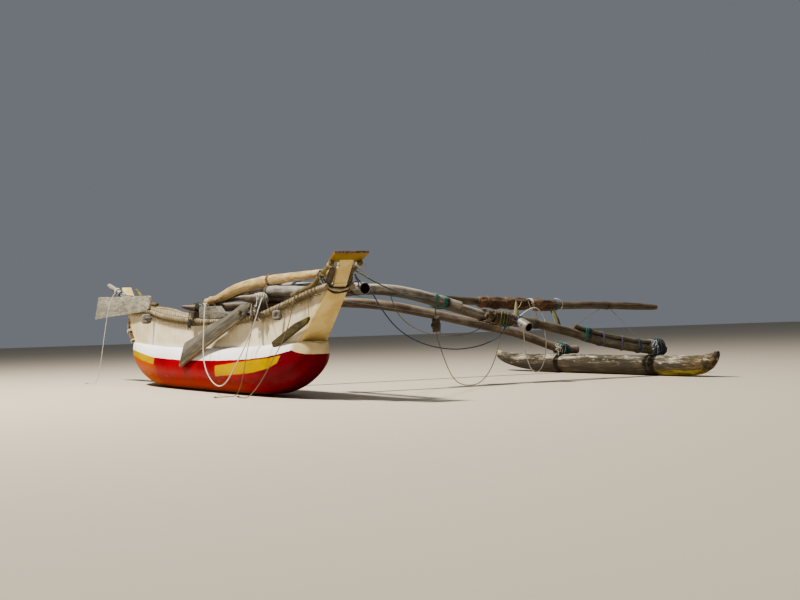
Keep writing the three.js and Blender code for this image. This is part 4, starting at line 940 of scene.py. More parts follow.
ROPE = {
    # Colour: dark and light fibres, dirt.
    "coir": ((0.1, 0.065, 0.03), (0.31, 0.22, 0.12), (0.16, 0.12, 0.08)),
    "brown": ((0.04, 0.025, 0.012), (0.14, 0.095, 0.05), (0.06, 0.04, 0.02)),
    "black": ((0.01, 0.011, 0.014), (0.045, 0.05, 0.06), (0.09, 0.08, 0.06)),
    "blue": ((0.012, 0.03, 0.07), (0.04, 0.09, 0.19), (0.08, 0.08, 0.08)),
    "teal": ((0.01, 0.1, 0.085), (0.03, 0.26, 0.21), (0.07, 0.09, 0.07)),
    "green": ((0.1, 0.13, 0.03), (0.3, 0.34, 0.1), (0.14, 0.12, 0.06)),
    "white": ((0.46, 0.44, 0.38), (0.76, 0.74, 0.67), (0.34, 0.28, 0.2)),
    "cream": ((0.42, 0.34, 0.2), (0.68, 0.58, 0.38), (0.25, 0.19, 0.11)),
    "violet": ((0.06, 0.05, 0.1), (0.17, 0.14, 0.24), (0.1, 0.08, 0.08)),
    "straw": ((0.22, 0.165, 0.085), (0.5, 0.4, 0.23), (0.13, 0.09, 0.045)),
    "grey": ((0.1, 0.1, 0.1), (0.3, 0.3, 0.29), (0.14, 0.12, 0.09)),
}
ROPE = {color: rope_finish(color, *fibres) for color, fibres in ROPE.items()}


def pipe_finish():
    r = Recipe("weathered_pipe")
    cloudy = r.noise(r.place, 8.0, 5.0, 0.65)
    color = r.ramp(cloudy, (0.32, (0.13, 0.115, 0.09)), (0.55, (0.25, 0.23, 0.195)),
        (0.72, (0.38, 0.36, 0.32)))
    grime = r.band(r.noise(r.place, 26.0, 6.0, 0.7), 0.55, 0.72)
    color = r.mix(grime * 0.5, color, (0.17, 0.14, 0.1))
    return r.finish(color, cloudy * 0.25 + 0.3, cloudy, 0.15, 0.002)


def cloth_finish():
    r = Recipe("brown_cloth")
    weave_a = r.noise(r.scaled(r.place, (1.0, 0.15, 1.0)), 520.0, 2.0)
    weave_b = r.noise(r.scaled(r.place, (0.15, 1.0, 0.15)), 520.0, 2.0)
    patch = r.noise(r.place, 6.0, 5.0, 0.65)
    color = r.mix(r.band(patch, 0.35, 0.66), (0.05, 0.024, 0.011), (0.17, 0.09, 0.048))
    color = r.mix(r.band(r.noise(r.place, 17.0, 5.0, 0.7), 0.54, 0.7) * 0.6, color, (0.23, 0.16, 0.085))
    return r.finish(color, 0.92, weave_a + weave_b, 0.6, 0.0015, sheen=0.1)


# Painted shade: the inside of the pipes is painted near-black, as shade in the bore.
def painted_shade_bore_finish():
    r = Recipe("painted_shade_bore")
    cloudy = r.noise(r.place, 30.0, 4.0, 0.6)
    return r.finish(r.ramp(cloudy, (0.35, (0.012, 0.008, 0.005)), (0.65, (0.045, 0.028, 0.016))), 0.95)


FINISH["pipe"] = pipe_finish()
FINISH["bore"] = painted_shade_bore_finish()
FINISH["brown_cloth"] = cloth_finish()
print(len(FINISH), "finishes and", len(ROPE), "rope colours")

# %% [markdown]
# The log is drawn as rings that run round the outside, over the rim, down into the hollow and back. Beyond
# the hollow's ends the inside of the ring lies flat on top. Shallow tool marks keep the sides from being too
# even, and they only ever go inwards.

# %% The hollow log
LOG = [
    (0.0, 0.0, 0.305, 0.168, 0.5), (0.8, 0.0, 0.302, 0.168, 0.503), (1.5, 0.008, 0.29, 0.165, 0.514),
    (2.0, 0.028, 0.267, 0.16, 0.53), (2.4, 0.092, 0.232, 0.154, 0.547), (2.65, 0.165, 0.203, 0.15, 0.558),
    (2.86, 0.255, 0.175, 0.147, 0.565), (2.99, 0.34, 0.14, 0.12, 0.566), (3.07, 0.42, 0.092, 0.08, 0.56),
    (3.105, 0.478, 0.04, 0.034, 0.55),
]
LOG_XS, *LOG_COLUMNS = zip(*LOG)
log_keel, log_belly, log_rim_half, log_rim = (smooth_row(LOG_XS, column) for column in LOG_COLUMNS)
WALL, FLOOR, RIM_WALL, HOLLOW_END, LOG_END = 0.038, 0.055, 0.046, 2.65, 3.105


def log_half(x, wall=0.0, floor=0.0, rim_wall=0.0, arcs=(13, 11)):
    """Half of the log's section from the keel to the rim."""
    x = abs(x)
    belly, keel = log_belly(x) - wall, log_keel(x) + floor
    rim_half, rim = log_rim_half(x) - rim_wall, log_rim(x)
    flat = min(0.045, belly * 0.3)
    middle = keel + (rim - keel) * 0.5
    half = []
    for i in range(arcs[0] + 1):
        a = math.pi / 2 * i / arcs[0]
        half.append((flat + (belly - flat) * math.sin(a), middle - (middle - keel) * math.cos(a)))
    for i in range(1, arcs[1] + 1):
        a = math.pi / 2 * i / arcs[1]
        half.append((rim_half + (belly - rim_half) * math.cos(a), middle + (rim - middle) * math.sin(a)))
    return half


def log_section(x, hollow):
    """One ring: outside from rim to rim under the keel, then back through the hollow."""
    outside = log_half(x)
    ring = [(-y, z) for y, z in reversed(outside)] + outside
    if hollow:
        inside = log_half(x, WALL, FLOOR, RIM_WALL, (8, 7))
        return ring + inside[::-1] + [(-y, z) for y, z in inside]
    flat = [1 - 2 * k / 31 for k in range(32)]
    return ring + [((log_rim_half(abs(x)) - RIM_WALL) * share, log_rim(abs(x))) for share in flat]


near_the_ends = {-LOG_END, LOG_END, -3.09, 3.09, -3.07, 3.07, -2.651, 2.651}
rings, outside_count = [], 50
for x in sorted({round(k * 0.05, 3) for k in range(-62, 63)} | near_the_ends):
    ring = []
    for k, (y, z) in enumerate(log_section(x, abs(x) <= HOLLOW_END)):
        place = at(x, y, z)
        if k < outside_count and 0.02 < z < log_rim(abs(x)) - 0.004:
            mark = noise.noise(Vector((x * 5.0, y * 9.0, z * 9.0)))
            mark += 0.6 * noise.noise(Vector((x * 13.0, y * 17.0, z * 17.0)))
            place.y -= math.copysign(0.0045, y) * (mark + 1.0) * 0.5
        ring.append((place, (y, z, x)))
    rings.append(ring)
log_skin = ring_skin("hollow_log", rings)
within = log_skin.data.attributes.new("within", "FLOAT", "POINT")
count = len(rings[0])
for v in log_skin.data.vertices:
    within.data[v.index].value = float(v.index < len(rings) * count and v.index % count >= outside_count)
keep(log_skin, FINISH["log"], stands_for=["hull_log"])
print("hollow log", len(log_skin.data.polygons), "faces")

# %% [markdown]
# Each plank side stands on the log's rim and leans to its rail. It is a thin strip with rounded edges, a
# little wavy because the stitching pulls it, and its lower edge shows as a seam above the log.

# %% Plank sides
SHEER = [
    (-3.56, 1.07), (-3.3, 1.042), (-2.16, 0.968), (-1.625, 0.905), (-1.08, 0.858), (-0.42, 0.822),
    (0.0, 0.806), (0.7, 0.797), (1.5, 0.812), (1.955, 0.848), (2.27, 0.892), (2.58, 0.937), (2.926, 0.992),
    (3.165, 1.028), (3.42, 1.06), (3.62, 1.084),
]
sheer = smooth_row(*zip(*SHEER))


def gunwale_half(x):
    """Half of the width between the plank sides at their heads."""
    return 0.135 - 0.031 * min(1.0, abs(x) / 3.4) ** 2


def plank_side(side, name, node):
    """A strip from the log's rim to the rail, with the steps of a rounded edge at its foot and head."""
    edge, thick, levels = 0.005, 0.018, 9
    rings = []
    for k in range(121):
        share = -1 + 2 * k / 120
        foot_x = share * (2.868 if share > 0 else 2.816)
        head_x = share * (3.53 if share > 0 else 3.408)
        foot_y, foot_z = log_rim_half(abs(share) * 2.86) - 0.008, log_rim(abs(share) * 2.86) + 0.0006
        head_y, head_z = gunwale_half(head_x), sheer(head_x) + 0.008
        outer, inner = [], []
        for i in range(levels + 1):
            t = i / levels
            x = foot_x + (head_x - foot_x) * t
            y = foot_y + (head_y - foot_y) * t
            z = foot_z + (head_z - foot_z) * t
            ripple = noise.noise(Vector((x * 3.2, side * 5.0, z * 4.0))) - 0.35
            pull = 0.0035 * math.sin(math.pi * t) * ripple
            back = edge if i in (0, levels) else 0.0
            outer.append((x, y - back + pull, z))
            inner.append((x, y - thick + back * 0.6 + pull, z))
        rings.append([(at(x, side * y, z), (side * y, z, x)) for x, y, z in outer + inner[::-1]])
    keep(ring_skin(name, rings), FINISH["planks"], stands_for=[node])


plank_side(-1, "plank_side_near", "washstrake_near")
plank_side(1, "plank_side_far", "washstrake_far")
print("two plank sides")

# %% [markdown]
# Rails, horns and the beams between the plank sides are all sticks. The rails are thick and knotty. Horns lie
# on the rails' ends and sweep up to the head.

# %% Rails, horns and beams
RAIL_OUT = 0.0316
EDGES = ((-1, "near"), (1, "far"))


def pole(name, route, radius, finish, stands_for, step=0.03, sides=18, rough=0.05, knots=4, seed=1):
    """A pole's skin with its finish, in the place of some plain nodes."""
    skin = pole_skin(name, route, radius, step, sides, rough, knots, seed)
    keep(skin, FINISH[finish], stands_for=stands_for)


def rail_radius(t):
    return 0.0312 * (0.78 if t < 0.004 or t > 0.996 else 1.0)


def tapered(full, loss):
    """A radius that shrinks evenly from one end to the other."""
    return lambda t: full - loss * t


for side, edge in EDGES:
    xs = [-3.47 + 7.062 * k / 44 for k in range(45)]
    route = [(x, side * (gunwale_half(x) + RAIL_OUT), sheer(x)) for x in xs]
    pole(f"rail_{edge}", route, rail_radius, "rail", [f"gunwale_rail_{edge}"], 0.035, 24, 0.09, 30, 11 + side)

HORN_TAIL = [
    (3.34, 0.137, 1.134), (3.45, 0.14, 1.186), (3.605, 0.144, 1.24), (3.7, 0.1455, 1.2745),
    (3.762, 0.1462, 1.294),
]
for end, name in ((1, "bow"), (-1, "stern")):
    for side, edge in EDGES:
        xs = (2.76, 2.92, 3.08, 3.22)
        route = [(end * x, side * (gunwale_half(x) + 0.031), sheer(end * x) + 0.055) for x in xs]
        route += [(end * x, side * y, z) for x, y, z in HORN_TAIL]
        node = f"horn_{name}_{edge}"
        pole(node + "_skin", route, tapered(0.0235, 0.003), "horn", [node], rough=0.1, knots=9,
             seed=31 + 5 * end + side)

BEAMS = [
    ("crossbeam_stern", "silver", -2.0, 0.876, 0.245), ("crossbeam_middle", "boom", 0.82, 0.735, 0.128),
    ("crossbeam_bow", "boom", 2.52, 0.845, 0.11),
]
for node, finish, x, z, half in BEAMS:
    route = [(x, -half, z), (x, -half * 0.5, z + 0.001), (x, half * 0.5, z + 0.001), (x, half, z)]
    pole(node + "_skin", route, 0.0265, finish, [node], rough=0.08, knots=3, seed=int(x * 10) + 60)
POST = [(3.495, 0.096, 1.072), (3.56, 0.096, 1.137), (3.62, 0.097, 1.203), (3.676, 0.098, 1.262)]
for side, edge in EDGES:
    route = [(x, side * y, z) for x, y, z in POST]
    pole(f"head_post_{edge}", route, tapered(0.031, 0.004), "dark", (), 0.02, 16, 0.16, 4, 70 + side)
print("rails, horns, posts and beams")

# %% [markdown]
# The end planks, the cap and the chocks are flat solids with straight edges. Their edges are rounded, and
# the ochre cap has a weathered front edge with a paler face than its top.

# %% End planks, cap and chocks
for node, finish, width in (
    ("stem_plate_bow", "tan", 0.006), ("stem_plate_stern", "tan", 0.006), ("cap_board_bow", "cap", 0.005),
    ("boom_chock_bow", "chock", 0.007), ("boom_chock_aft", "chock", 0.007),
):
    keep(softened(node, width, 3, 0.0012), FINISH[finish], stands_for=[node])
print("flat pieces softened")

# %% [markdown]
# Booms and spars follow the same lines as their solids, but are rounder and have knots, dents and a grain
# that bends with them.

# %% Booms
def ease(t, low, high):
    """0 below low and 1 above high, smooth between."""
    s = min(1.0, max(0.0, (t - low) / (high - low)))
    return s * s * (3 - 2 * s)


def spike(t, share, full):
    """A radius that grows from a blunt point at the inner end."""
    return full * min(1.0, 0.16 + 0.84 * (max(t, 0.0) / share) ** 0.7)


def inner_radius(t):
    return spike(t, 0.08, 0.049 + 0.011 * ease(t, 0.24, 0.42))


def aft_radius(t):
    return spike(t, 0.045, 0.049 + 0.011 * (ease(t, 0.1, 0.22) - 0.5 * ease(t, 0.7, 0.95)))


BOW_X, AFT_X, MIDDLE_X, SPAR_X = 1.84, -0.22, 1.719, 1.607
POLES = [
    ("boom_bow_inner", "boom", inner_radius, 9, BOW_X, [
        (-0.4, 1.032), (-0.21, 1.013), (0, 1.01), (0.215, 1.012), (0.7, 1.066), (1.11, 1.092), (1.5, 1.064),
        (1.95, 0.962), (2.25, 0.874),
    ]),
    ("boom_bow_middle", "boom", 0.058, 6, MIDDLE_X, [
        (1.38, 1.084), (1.7, 1.028), (1.95, 0.962), (2.3, 0.86), (2.7, 0.75), (3.06, 0.692),
    ]),
    ("boom_bow_outer", "outer", lambda t: 0.052 * min(1.0, 0.55 + t / 0.08 * 0.45), 12, BOW_X, [
        (2.56, 0.786), (2.8, 0.738), (3.116, 0.688), (3.683, 0.556), (4.096, 0.436), (4.56, 0.35),
        (4.9, 0.305), (5.03, 0.309),
    ]),
    ("boom_bow_rider", "outer", 0.0265, 8, BOW_X, [
        (3.74, 0.625), (4.096, 0.52), (4.56, 0.433), (4.88, 0.391), (5.01, 0.394),
    ]),
    ("boom_aft", "aft", aft_radius, 20, AFT_X, [
        (-0.334, 0.989), (-0.21, 0.968), (0, 0.965), (0.215, 0.967), (0.9, 0.985), (1.76, 0.99),
        (2.306, 0.945), (3.037, 0.807), (3.661, 0.67), (4.2, 0.545), (4.56, 0.422), (4.9, 0.309), (5.15, 0.3),
    ]),
    ("furled_spar", "dark", lambda t: 0.0435 * (1 if t < 0.9 else 1 - 2.5 * (t - 0.9)), 10, SPAR_X, [
        (1.9, 0.99), (2.268, 0.965), (2.812, 0.922), (3.079, 0.905), (3.621, 0.872), (4.253, 0.861),
        (4.759, 0.838), (5.098, 0.819),
    ]),
]
for k, (node, finish, radius, knots, x, rows) in enumerate(POLES):
    pole(node + "_skin", [(x, y, z) for y, z in rows], radius, finish, [node], 0.035, 28, 0.05, knots, 70 + k)
print(len(POLES), "booms and spars across the hull")

# %% [markdown]
# The stowed poles and the long curved spar lie along the hull. The curved spar is peeled and pale, with
# knots where its branches were cut off.

# %% Poles along the hull
def spar_radius(t):
    return 0.0395 + 0.02 * ease(t, 0.05, 0.25) - 0.018 * ease(t, 0.4, 0.85)


LONG_POLES = [
    ("stowed_pole_near", "silver", lambda t: 0.0565 * (1 - 0.1 * t), 5, [
        (1.78, -0.02, 1.092), (1.84, -0.02, 1.091), (2.3, -0.018, 1.078), (2.8, -0.016, 1.06),
    ]),
    ("stowed_pole_far", "boom", 0.0455, 8, [
        (-0.42, 0.098, 1.056), (-0.22, 0.098, 1.055), (0.9, 0.096, 1.08), (1.84, 0.096, 1.102),
        (2.9, 0.092, 1.098),
    ]),
    ("curved_spar", "spar", spar_radius, 22, [
        (-0.262, -0.006, 1.038), (-0.17, -0.006, 1.04), (0.06, -0.005, 1.054), (0.3, -0.004, 1.08),
        (0.56, -0.002, 1.122), (0.845, 0, 1.157), (1.3, 0.002, 1.186), (1.81, 0.004, 1.206),
        (2.3, 0.008, 1.214), (2.9, 0.014, 1.219), (3.3, 0.018, 1.22), (3.556, 0.02, 1.221),
    ]),
    ("stern_pole", "silver", 0.035, 4, [(-3.3, -0.0994, 1.157), (-3.6, -0.15, 1.262), (-3.9, -0.205, 1.362)]),
    ("boom_peg", "peg", tapered(0.0355, 0.026), 2, [
        (1.796, 2.985, 0.735), (1.796, 2.99, 0.81), (1.796, 2.994, 0.936),
    ]),
    ("spar_strut", "horn", 0.0148, 4, [(1.8, 3.5587, 0.636), (1.74, 3.556, 0.74), (1.628, 3.551, 0.855)]),
]
for k, (node, finish, radius, knots, route) in enumerate(LONG_POLES):
    pole(node + "_skin", route, radius, finish, [node], 0.03, 26, 0.05, knots, 90 + k)
print(len(LONG_POLES), "poles along the hull")

# %% [markdown]
# Two pipes have open mouths. Their rings run along the outside, turn over the lip and go back down the bore
# to a closed bottom.

# %% Open pipes
def open_pipe(node, finish, route, radius, bore, deep, rough):
    """A pole whose far end is hollow. The bore runs back from that end and has a second material, painted
    near-black as shade.
    """
    sides = 30
    path = through(route, 0.04)
    share, length = shares(path)
    frames = frames_along(path)
    rows = [(k, 0.0, radius * (0.9 if k == 0 else 1.0)) for k in range(len(path) - 1)]
    last = len(path) - 1
    lip = [(-0.004, radius), (0.0, radius - 0.004), (0.0, bore + 0.003), (-0.004, bore)]
    rows += [(last, *row) for row in lip + [(-deep * t, bore) for t in (0.25, 0.5, 0.75, 1.0)]]
    rings = []
    for k, ahead, r in rows:
        along, across, up = frames[k]
        ring = []
        for a in round_angles(sides):
            here = Vector((math.cos(a) * 1.2 + 5, math.sin(a) * 1.2, share[k] * length * 2.0))
            rr = r * (1 + rough * noise.noise(here))
            place = path[k] + along * ahead + across * rr * math.cos(a) + up * rr * math.sin(a)
            ring.append((place, (rr * math.cos(a), rr * math.sin(a), share[k] * length + ahead)))
        rings.append(ring)
    piece = keep(ring_skin(node + "_skin", rings), FINISH[finish], stands_for=[node])
    piece.data.materials.append(FINISH["bore"])
    bore_faces = range((len(path) + 1) * sides, (len(rings) - 1) * sides)
    end_faces = range(len(rings) * sides, len(piece.data.polygons))
    for k in (*bore_faces, *end_faces):
        piece.data.polygons[k].material_index = 1


open_pipe("head_pipe", "silver", [
    (1.5, 0.292, 1.142), (1.84, 0.292, 1.126), (2.7, 0.29, 1.086), (3.52, 0.288, 1.056),
], 0.0575, 0.047, 0.085, 0.05)
open_pipe("joint_pipe", "pipe", [
    (1.88, 2.961, 0.708), (1.964, 2.974, 0.672), (2.066, 2.99, 0.628),
], 0.0548, 0.044, 0.075, 0.02)
print("two open pipes")

# %% [markdown]
# The float is a log hewn to a point at both ends, with an oval section.

# %% The float
FLOAT = [
    (-1.92, 0.222, 0.304, 0.026), (-1.82, 0.156, 0.288, 0.06), (-1.5, 0.078, 0.264, 0.1),
    (-1.1, 0.03, 0.253, 0.12), (-0.5, 0.005, 0.25, 0.132), (0, 0.0, 0.25, 0.134), (1.5, 0.0, 0.25, 0.134),
    (2.3, 0.003, 0.25, 0.126), (2.64, 0.024, 0.252, 0.11), (2.85, 0.092, 0.272, 0.078),
    (2.99, 0.208, 0.316, 0.034),
]
FLOAT_XS, *FLOAT_COLUMNS = zip(*FLOAT)
float_low, float_top, float_half = (smooth_row(FLOAT_XS, column) for column in FLOAT_COLUMNS)
rings = []
for k in range(111):
    x = -1.92 + 4.91 * k / 110
    low, top, half = float_low(x), float_top(x), float_half(x)
    tip = 0.72 if k in (0, 110) else 1.0
    ring = []
    for a in round_angles(44):
        y = half * tip * math.sin(a)
        z = (top + low) / 2 + (top - low) / 2 * tip * math.cos(a)
        dent = noise.noise(Vector((x * 2.4, y * 9.0, z * 9.0)))
        dent += 0.5 * noise.noise(Vector((x * 9.0, y * 22.0, z * 22.0)))
        inwards = 0.006 * (dent + 1.2) * 0.5 if z > low + 0.01 else 0.0
        y -= math.copysign(inwards, y) * abs(math.sin(a))
        z -= inwards * 0.8 * max(0.0, math.cos(a))
        ring.append((at(x, 4.9 + y, z), (y, z, x)))
    rings.append(ring)
keep(ring_skin("float_skin", rings), FINISH["float"], stands_for=["outrigger_float"])
print("the float")

# %% [markdown]
# Boards are softened copies of their solids. The side board rides on its own body, so its skin does too.

# %% Boards
BOARD_PEG = (1.5, -0.21, 0.8735)
board_lean, board_tilt = math.radians(12.5), math.radians(16.0)
BOARD_FACE = Vector((0.0, -math.cos(board_lean), math.sin(board_lean)))
board_down = Vector((0.0, -math.sin(board_lean), -math.cos(board_lean)))
BOARD_ALONG = Vector((-math.cos(board_tilt), 0.0, 0.0)) + board_down * math.sin(board_tilt)
BOARD_ACROSS = BOARD_FACE.cross(BOARD_ALONG)

for node, finish, wave, body in (
    ("side_board", "board", 0.001, "side_board"), ("loose_board", "olive", 0.0015, "canoe"),
    ("split_block", "block", 0.004, "canoe"), ("steering_blade", "blade", 0.0015, "canoe"),
    ("side_board_peg", "dark", 0.0005, "canoe"),
):
    piece = keep(softened(node, 0.004, 2, wave, (1, 2, 0)), FINISH[finish], body, stands_for=[node])
    if node == "side_board":
        directions = (BOARD_ACROSS, BOARD_FACE, BOARD_ALONG)
        from_peg = [v.co - at(*BOARD_PEG) for v in piece.data.vertices]
        store_grain(piece, [[place.dot(direction) for direction in directions] for place in from_peg])
print("boards softened")

# %% [markdown]
# The cloth furled on its spar is a lumpy roll, fatter between its ties. Folds run along it and spiral a
# little, and its ends taper down onto the spar.

# %% The furled cloth
CLOTH_LINE = [
    (1.607, 2.6, 0.9395), (1.607, 2.9, 0.918), (1.607, 3.15, 0.902), (1.607, 3.4, 0.886),
    (1.607, 3.65, 0.872),
]
CLOTH_TIES = [0.1, 0.32, 0.66, 0.96]


def furled_roll(name, line):
    """A roll with folds. The radius is least at the ties, and it never comes inside the spar."""
    path = through(line, 0.01)
    share, length = shares(path)
    frames = frames_along(path)
    rings = []
    for k, (place, t) in enumerate(zip(path, share)):
        along, across, up = frames[k]
        tie = min(abs(t - place_t) * length for place_t in CLOTH_TIES)
        full = min(1.0, tie / 0.09) ** 0.6
        end = min(1.0, min(t, 1 - t) * length / 0.03)
        ring = []
        for a in round_angles(48):
            fold = math.sin(7 * a + 5.0 * t + 2.5 * noise.noise(Vector((t * 6, math.cos(a), math.sin(a)))))
            lump = noise.noise(Vector((t * 11.0, math.cos(a) * 1.3, math.sin(a) * 1.3)))
            crease = abs(noise.noise(Vector((t * 38.0, math.cos(a) * 3.0, math.sin(a) * 3.0))))
            r = 0.0475 + end * (0.01 + full * (0.013 + 0.0045 * fold + 0.011 * lump) - 0.005 * crease)
            r = max(r, 0.0465)
            spot = place + across * r * math.cos(a) + up * (r * math.sin(a) - 0.004 * full)
            ring.append((spot, (r * math.cos(a), r * math.sin(a), t * length)))
        rings.append(ring)
    return ring_skin(name, rings)


cloth = keep(furled_roll("furled_cloth_roll", CLOTH_LINE), FINISH["brown_cloth"], stands_for=["furled_cloth"])
print("the furled cloth")

# %% [markdown]
# A coil of rope and a bored float hang on short slings from the near rail. The coil is one rope laid in
# several turns, each a little off the last.

# %% Coil and bored float
def hanging_coil(x, y, z):
    """Turns of rope that hang as one oval coil in the plane of the hull's side."""
    run, count, steps = [], 6, 22
    for k in range(count * steps + 1):
        turn_share = k / steps
        r = 0.04 + random.Random(200 + int(turn_share)).uniform(-0.006, 0.006)
        a = 2 * math.pi * turn_share
        depth = 0.02 * (math.sin(turn_share * 2.1) * 0.5)
        run.append((x + r * math.cos(a), y + depth, z + r * 1.25 * math.sin(a)))
    return through(run, 0.006)


rope("coil_of_rope", [hanging_coil(1.8, -0.211, 0.806)], 0.0095, "coir", ["rope_ring"])
sling = through([
    (1.8, -0.211, 0.853), (1.795, -0.209, 0.88), (1.801, -0.206, 0.908), (1.803, -0.204, 0.93),
], 0.01)
rope("coil_sling", [
    sling, [p + Vector((0.01, -0.002, 0.0)) for p in sling],
    turns((1.792, -0.211, 0.852), (1.812, -0.211, 0.856), 0.012, 0.012, 4, seed=3),
], 0.007, "coir")


def holed_lug(name, centre, turn, half, hole, stands_for=()):
    """A plate with rounded corners and a hole. turn is the angle of its width from the x axis."""
    wide = Vector((math.cos(turn), math.sin(turn), 0.0))
    depth = Vector((-math.sin(turn), math.cos(turn), 0.0))
    back, edge, steps, count = 0.015, 0.0066, 40, 8
    points, faces, grain = [], [], []
    for k, a in enumerate(round_angles(steps)):
        outside = (abs(math.cos(a) / half) ** 3.4 + abs(math.sin(a) / half) ** 3.4) ** (-1 / 3.4)
        outside *= 1 + 0.05 * noise.noise(Vector((math.cos(a) * 2, math.sin(a) * 2, half * 40)))
        section = [(outside, edge - back), (outside - edge, -back), (hole + edge, -back), (hole, edge - back)]
        section += [(r, -d) for r, d in section[::-1]]
        for r, d in section:
            points.append(at(*centre) + wide * r * math.cos(a) + depth * d + Vector((0, 0, r * math.sin(a))))
            grain.append((r * math.sin(a), d, r * math.cos(a)))
        n = (k + 1) % steps
        for i in range(count):
            j = (i + 1) % count
            faces.append((k * count + i, n * count + i, n * count + j, k * count + j))
    keep(new_piece(name, points, faces, grain), FINISH["silver"], stands_for=stands_for)


float_y = -(gunwale_half(2.45) + RAIL_OUT * 2 + 0.006)
holed_lug("bored_float_skin", (2.45, float_y, 0.834), math.radians(42), 0.05, 0.016, ["bored_float"])
holed_lug("stern_lug", (-2.0, -0.232, 0.868), math.radians(80), 0.062, 0.015)
float_sling = [
    (2.45, float_y, 0.814), (2.452, float_y, 0.86), (2.447, float_y + 0.002, 0.9),
    (2.449, float_y + 0.006, 0.932),
]
rope("float_sling", [through(float_sling, 0.01)], 0.008, "white")
print("coil and bored float")

# %% [markdown]
# The block that hangs under the bow boom is a ragged lump of wood bound with old rope, and a fat bundle of
# rope hangs against the stern. Both are bound with short turns of rope.

# %% Hanging block and stern bundle
BLOCK_X, BLOCK_Y = 1.84, 1.925


def ragged_block(name):
    """A lump of wood that tapers upwards and downwards."""
    rings = []
    for k in range(25):
        t = k / 24
        base = 0.022 + 0.029 * math.sin(math.pi * min(1.0, 0.06 + 0.9 * t)) ** 0.8
        ring = []
        for a in round_angles(30):
            here = Vector((math.cos(a) * 1.6, math.sin(a) * 1.6, t * 5.0))
            r = base * (1 + 0.3 * noise.noise(here) + 0.12 * noise.noise(here * 4.0))
            r = min(r, 0.056)
            spot = (r * math.cos(a), r * 0.9 * math.sin(a), 0.764 - 0.156 * t)
            ring.append((at(BLOCK_X + spot[0], BLOCK_Y + spot[1], spot[2]), spot))
        rings.append(ring)
    return ring_skin(name, rings)


keep(ragged_block("ragged_block"), FINISH["dark"], stands_for=["hanging_block"])
hanger = [(1.84, 1.925, 0.762), (1.842, 1.925, 0.8), (1.838, 1.926, 0.85), (1.841, 1.925, 0.906)]
rope("block_hanger", [through(hanger, 0.01)], 0.014, "teal")
rope("block_binding", [
    turns((1.84, 1.925, 0.752), (1.84, 1.926, 0.735), 0.041, 0.041, 3, seed=2),
    turns((1.84, 1.925, 0.7), (1.84, 1.926, 0.672), 0.054, 0.052, 3, seed=9),
], 0.009, "brown")
rope("block_sling", [turns((1.84, 1.9, 0.981), (1.84, 1.945, 0.968), 0.063, 0.063, 3, seed=9)], 0.011, "teal")

BUNDLE = [
    (-3.226, -0.094, 0.876), (-3.204, -0.108, 0.8), (-3.152, -0.116, 0.7), (-3.106, -0.112, 0.62),
    (-3.07, -0.106, 0.566),
]


def bundle_strands(line, strands, seed):
    """Strands that run down a line, bulging and crossing like a skein."""
    rng = random.Random(seed)
    path = through(line, 0.012)
    share, _ = shares(path)
    frames = frames_along(path)
    runs = []
    for start in round_angles(strands):
        spin = rng.uniform(-1.5, 1.5)
        depth = rng.uniform(0.55, 1.0)
        run = []
        for place, t, (_, across, up) in zip(path, share, frames):
            full = 0.01 + 0.031 * math.sin(math.pi * min(1.0, 0.12 + 0.86 * t))
            a = start + spin * t
            run.append(place + (across * math.cos(a) + up * math.sin(a)) * full * depth)
        runs.append(run)
    return runs


rope("stern_bundle", bundle_strands(BUNDLE, 22, 8), 0.013, "coir", ["stern_fender"], section=9)
rope("stern_bundle_ties", [
    turns((-3.222, -0.098, 0.86), (-3.214, -0.102, 0.838), 0.026, 0.026, 4, seed=5),
    turns((-3.166, -0.114, 0.728), (-3.152, -0.116, 0.7), 0.05, 0.05, 4, seed=6),
    turns((-3.09, -0.109, 0.594), (-3.082, -0.107, 0.582), 0.034, 0.034, 3, seed=7),
], 0.009, "white")


def tangle(name, centre, size, count, diameter, color, seed):
    """Old rope thrown together: a few runs that wander in an oval, with loose ends that hang."""
    rng = random.Random(seed)
    runs = []
    for _ in range(count):
        spots = []
        for _ in range(11):
            spot = Vector((rng.gauss(0, 0.42), rng.gauss(0, 0.42), rng.gauss(0, 0.42)))
            spot = spot.normalized() * min(spot.length, 1.0)
            spots.append(at(*centre) + Vector((spot.x * size[0], spot.y * size[1], spot.z * size[2])))
        low = spots[-1].copy()
        low.z = at(*centre).z - size[2] * rng.uniform(1.2, 1.7)
        spots.append(low)
        runs.append(smooth_path(spots, 0.007))
    rope(name, runs, diameter, color, section=8)


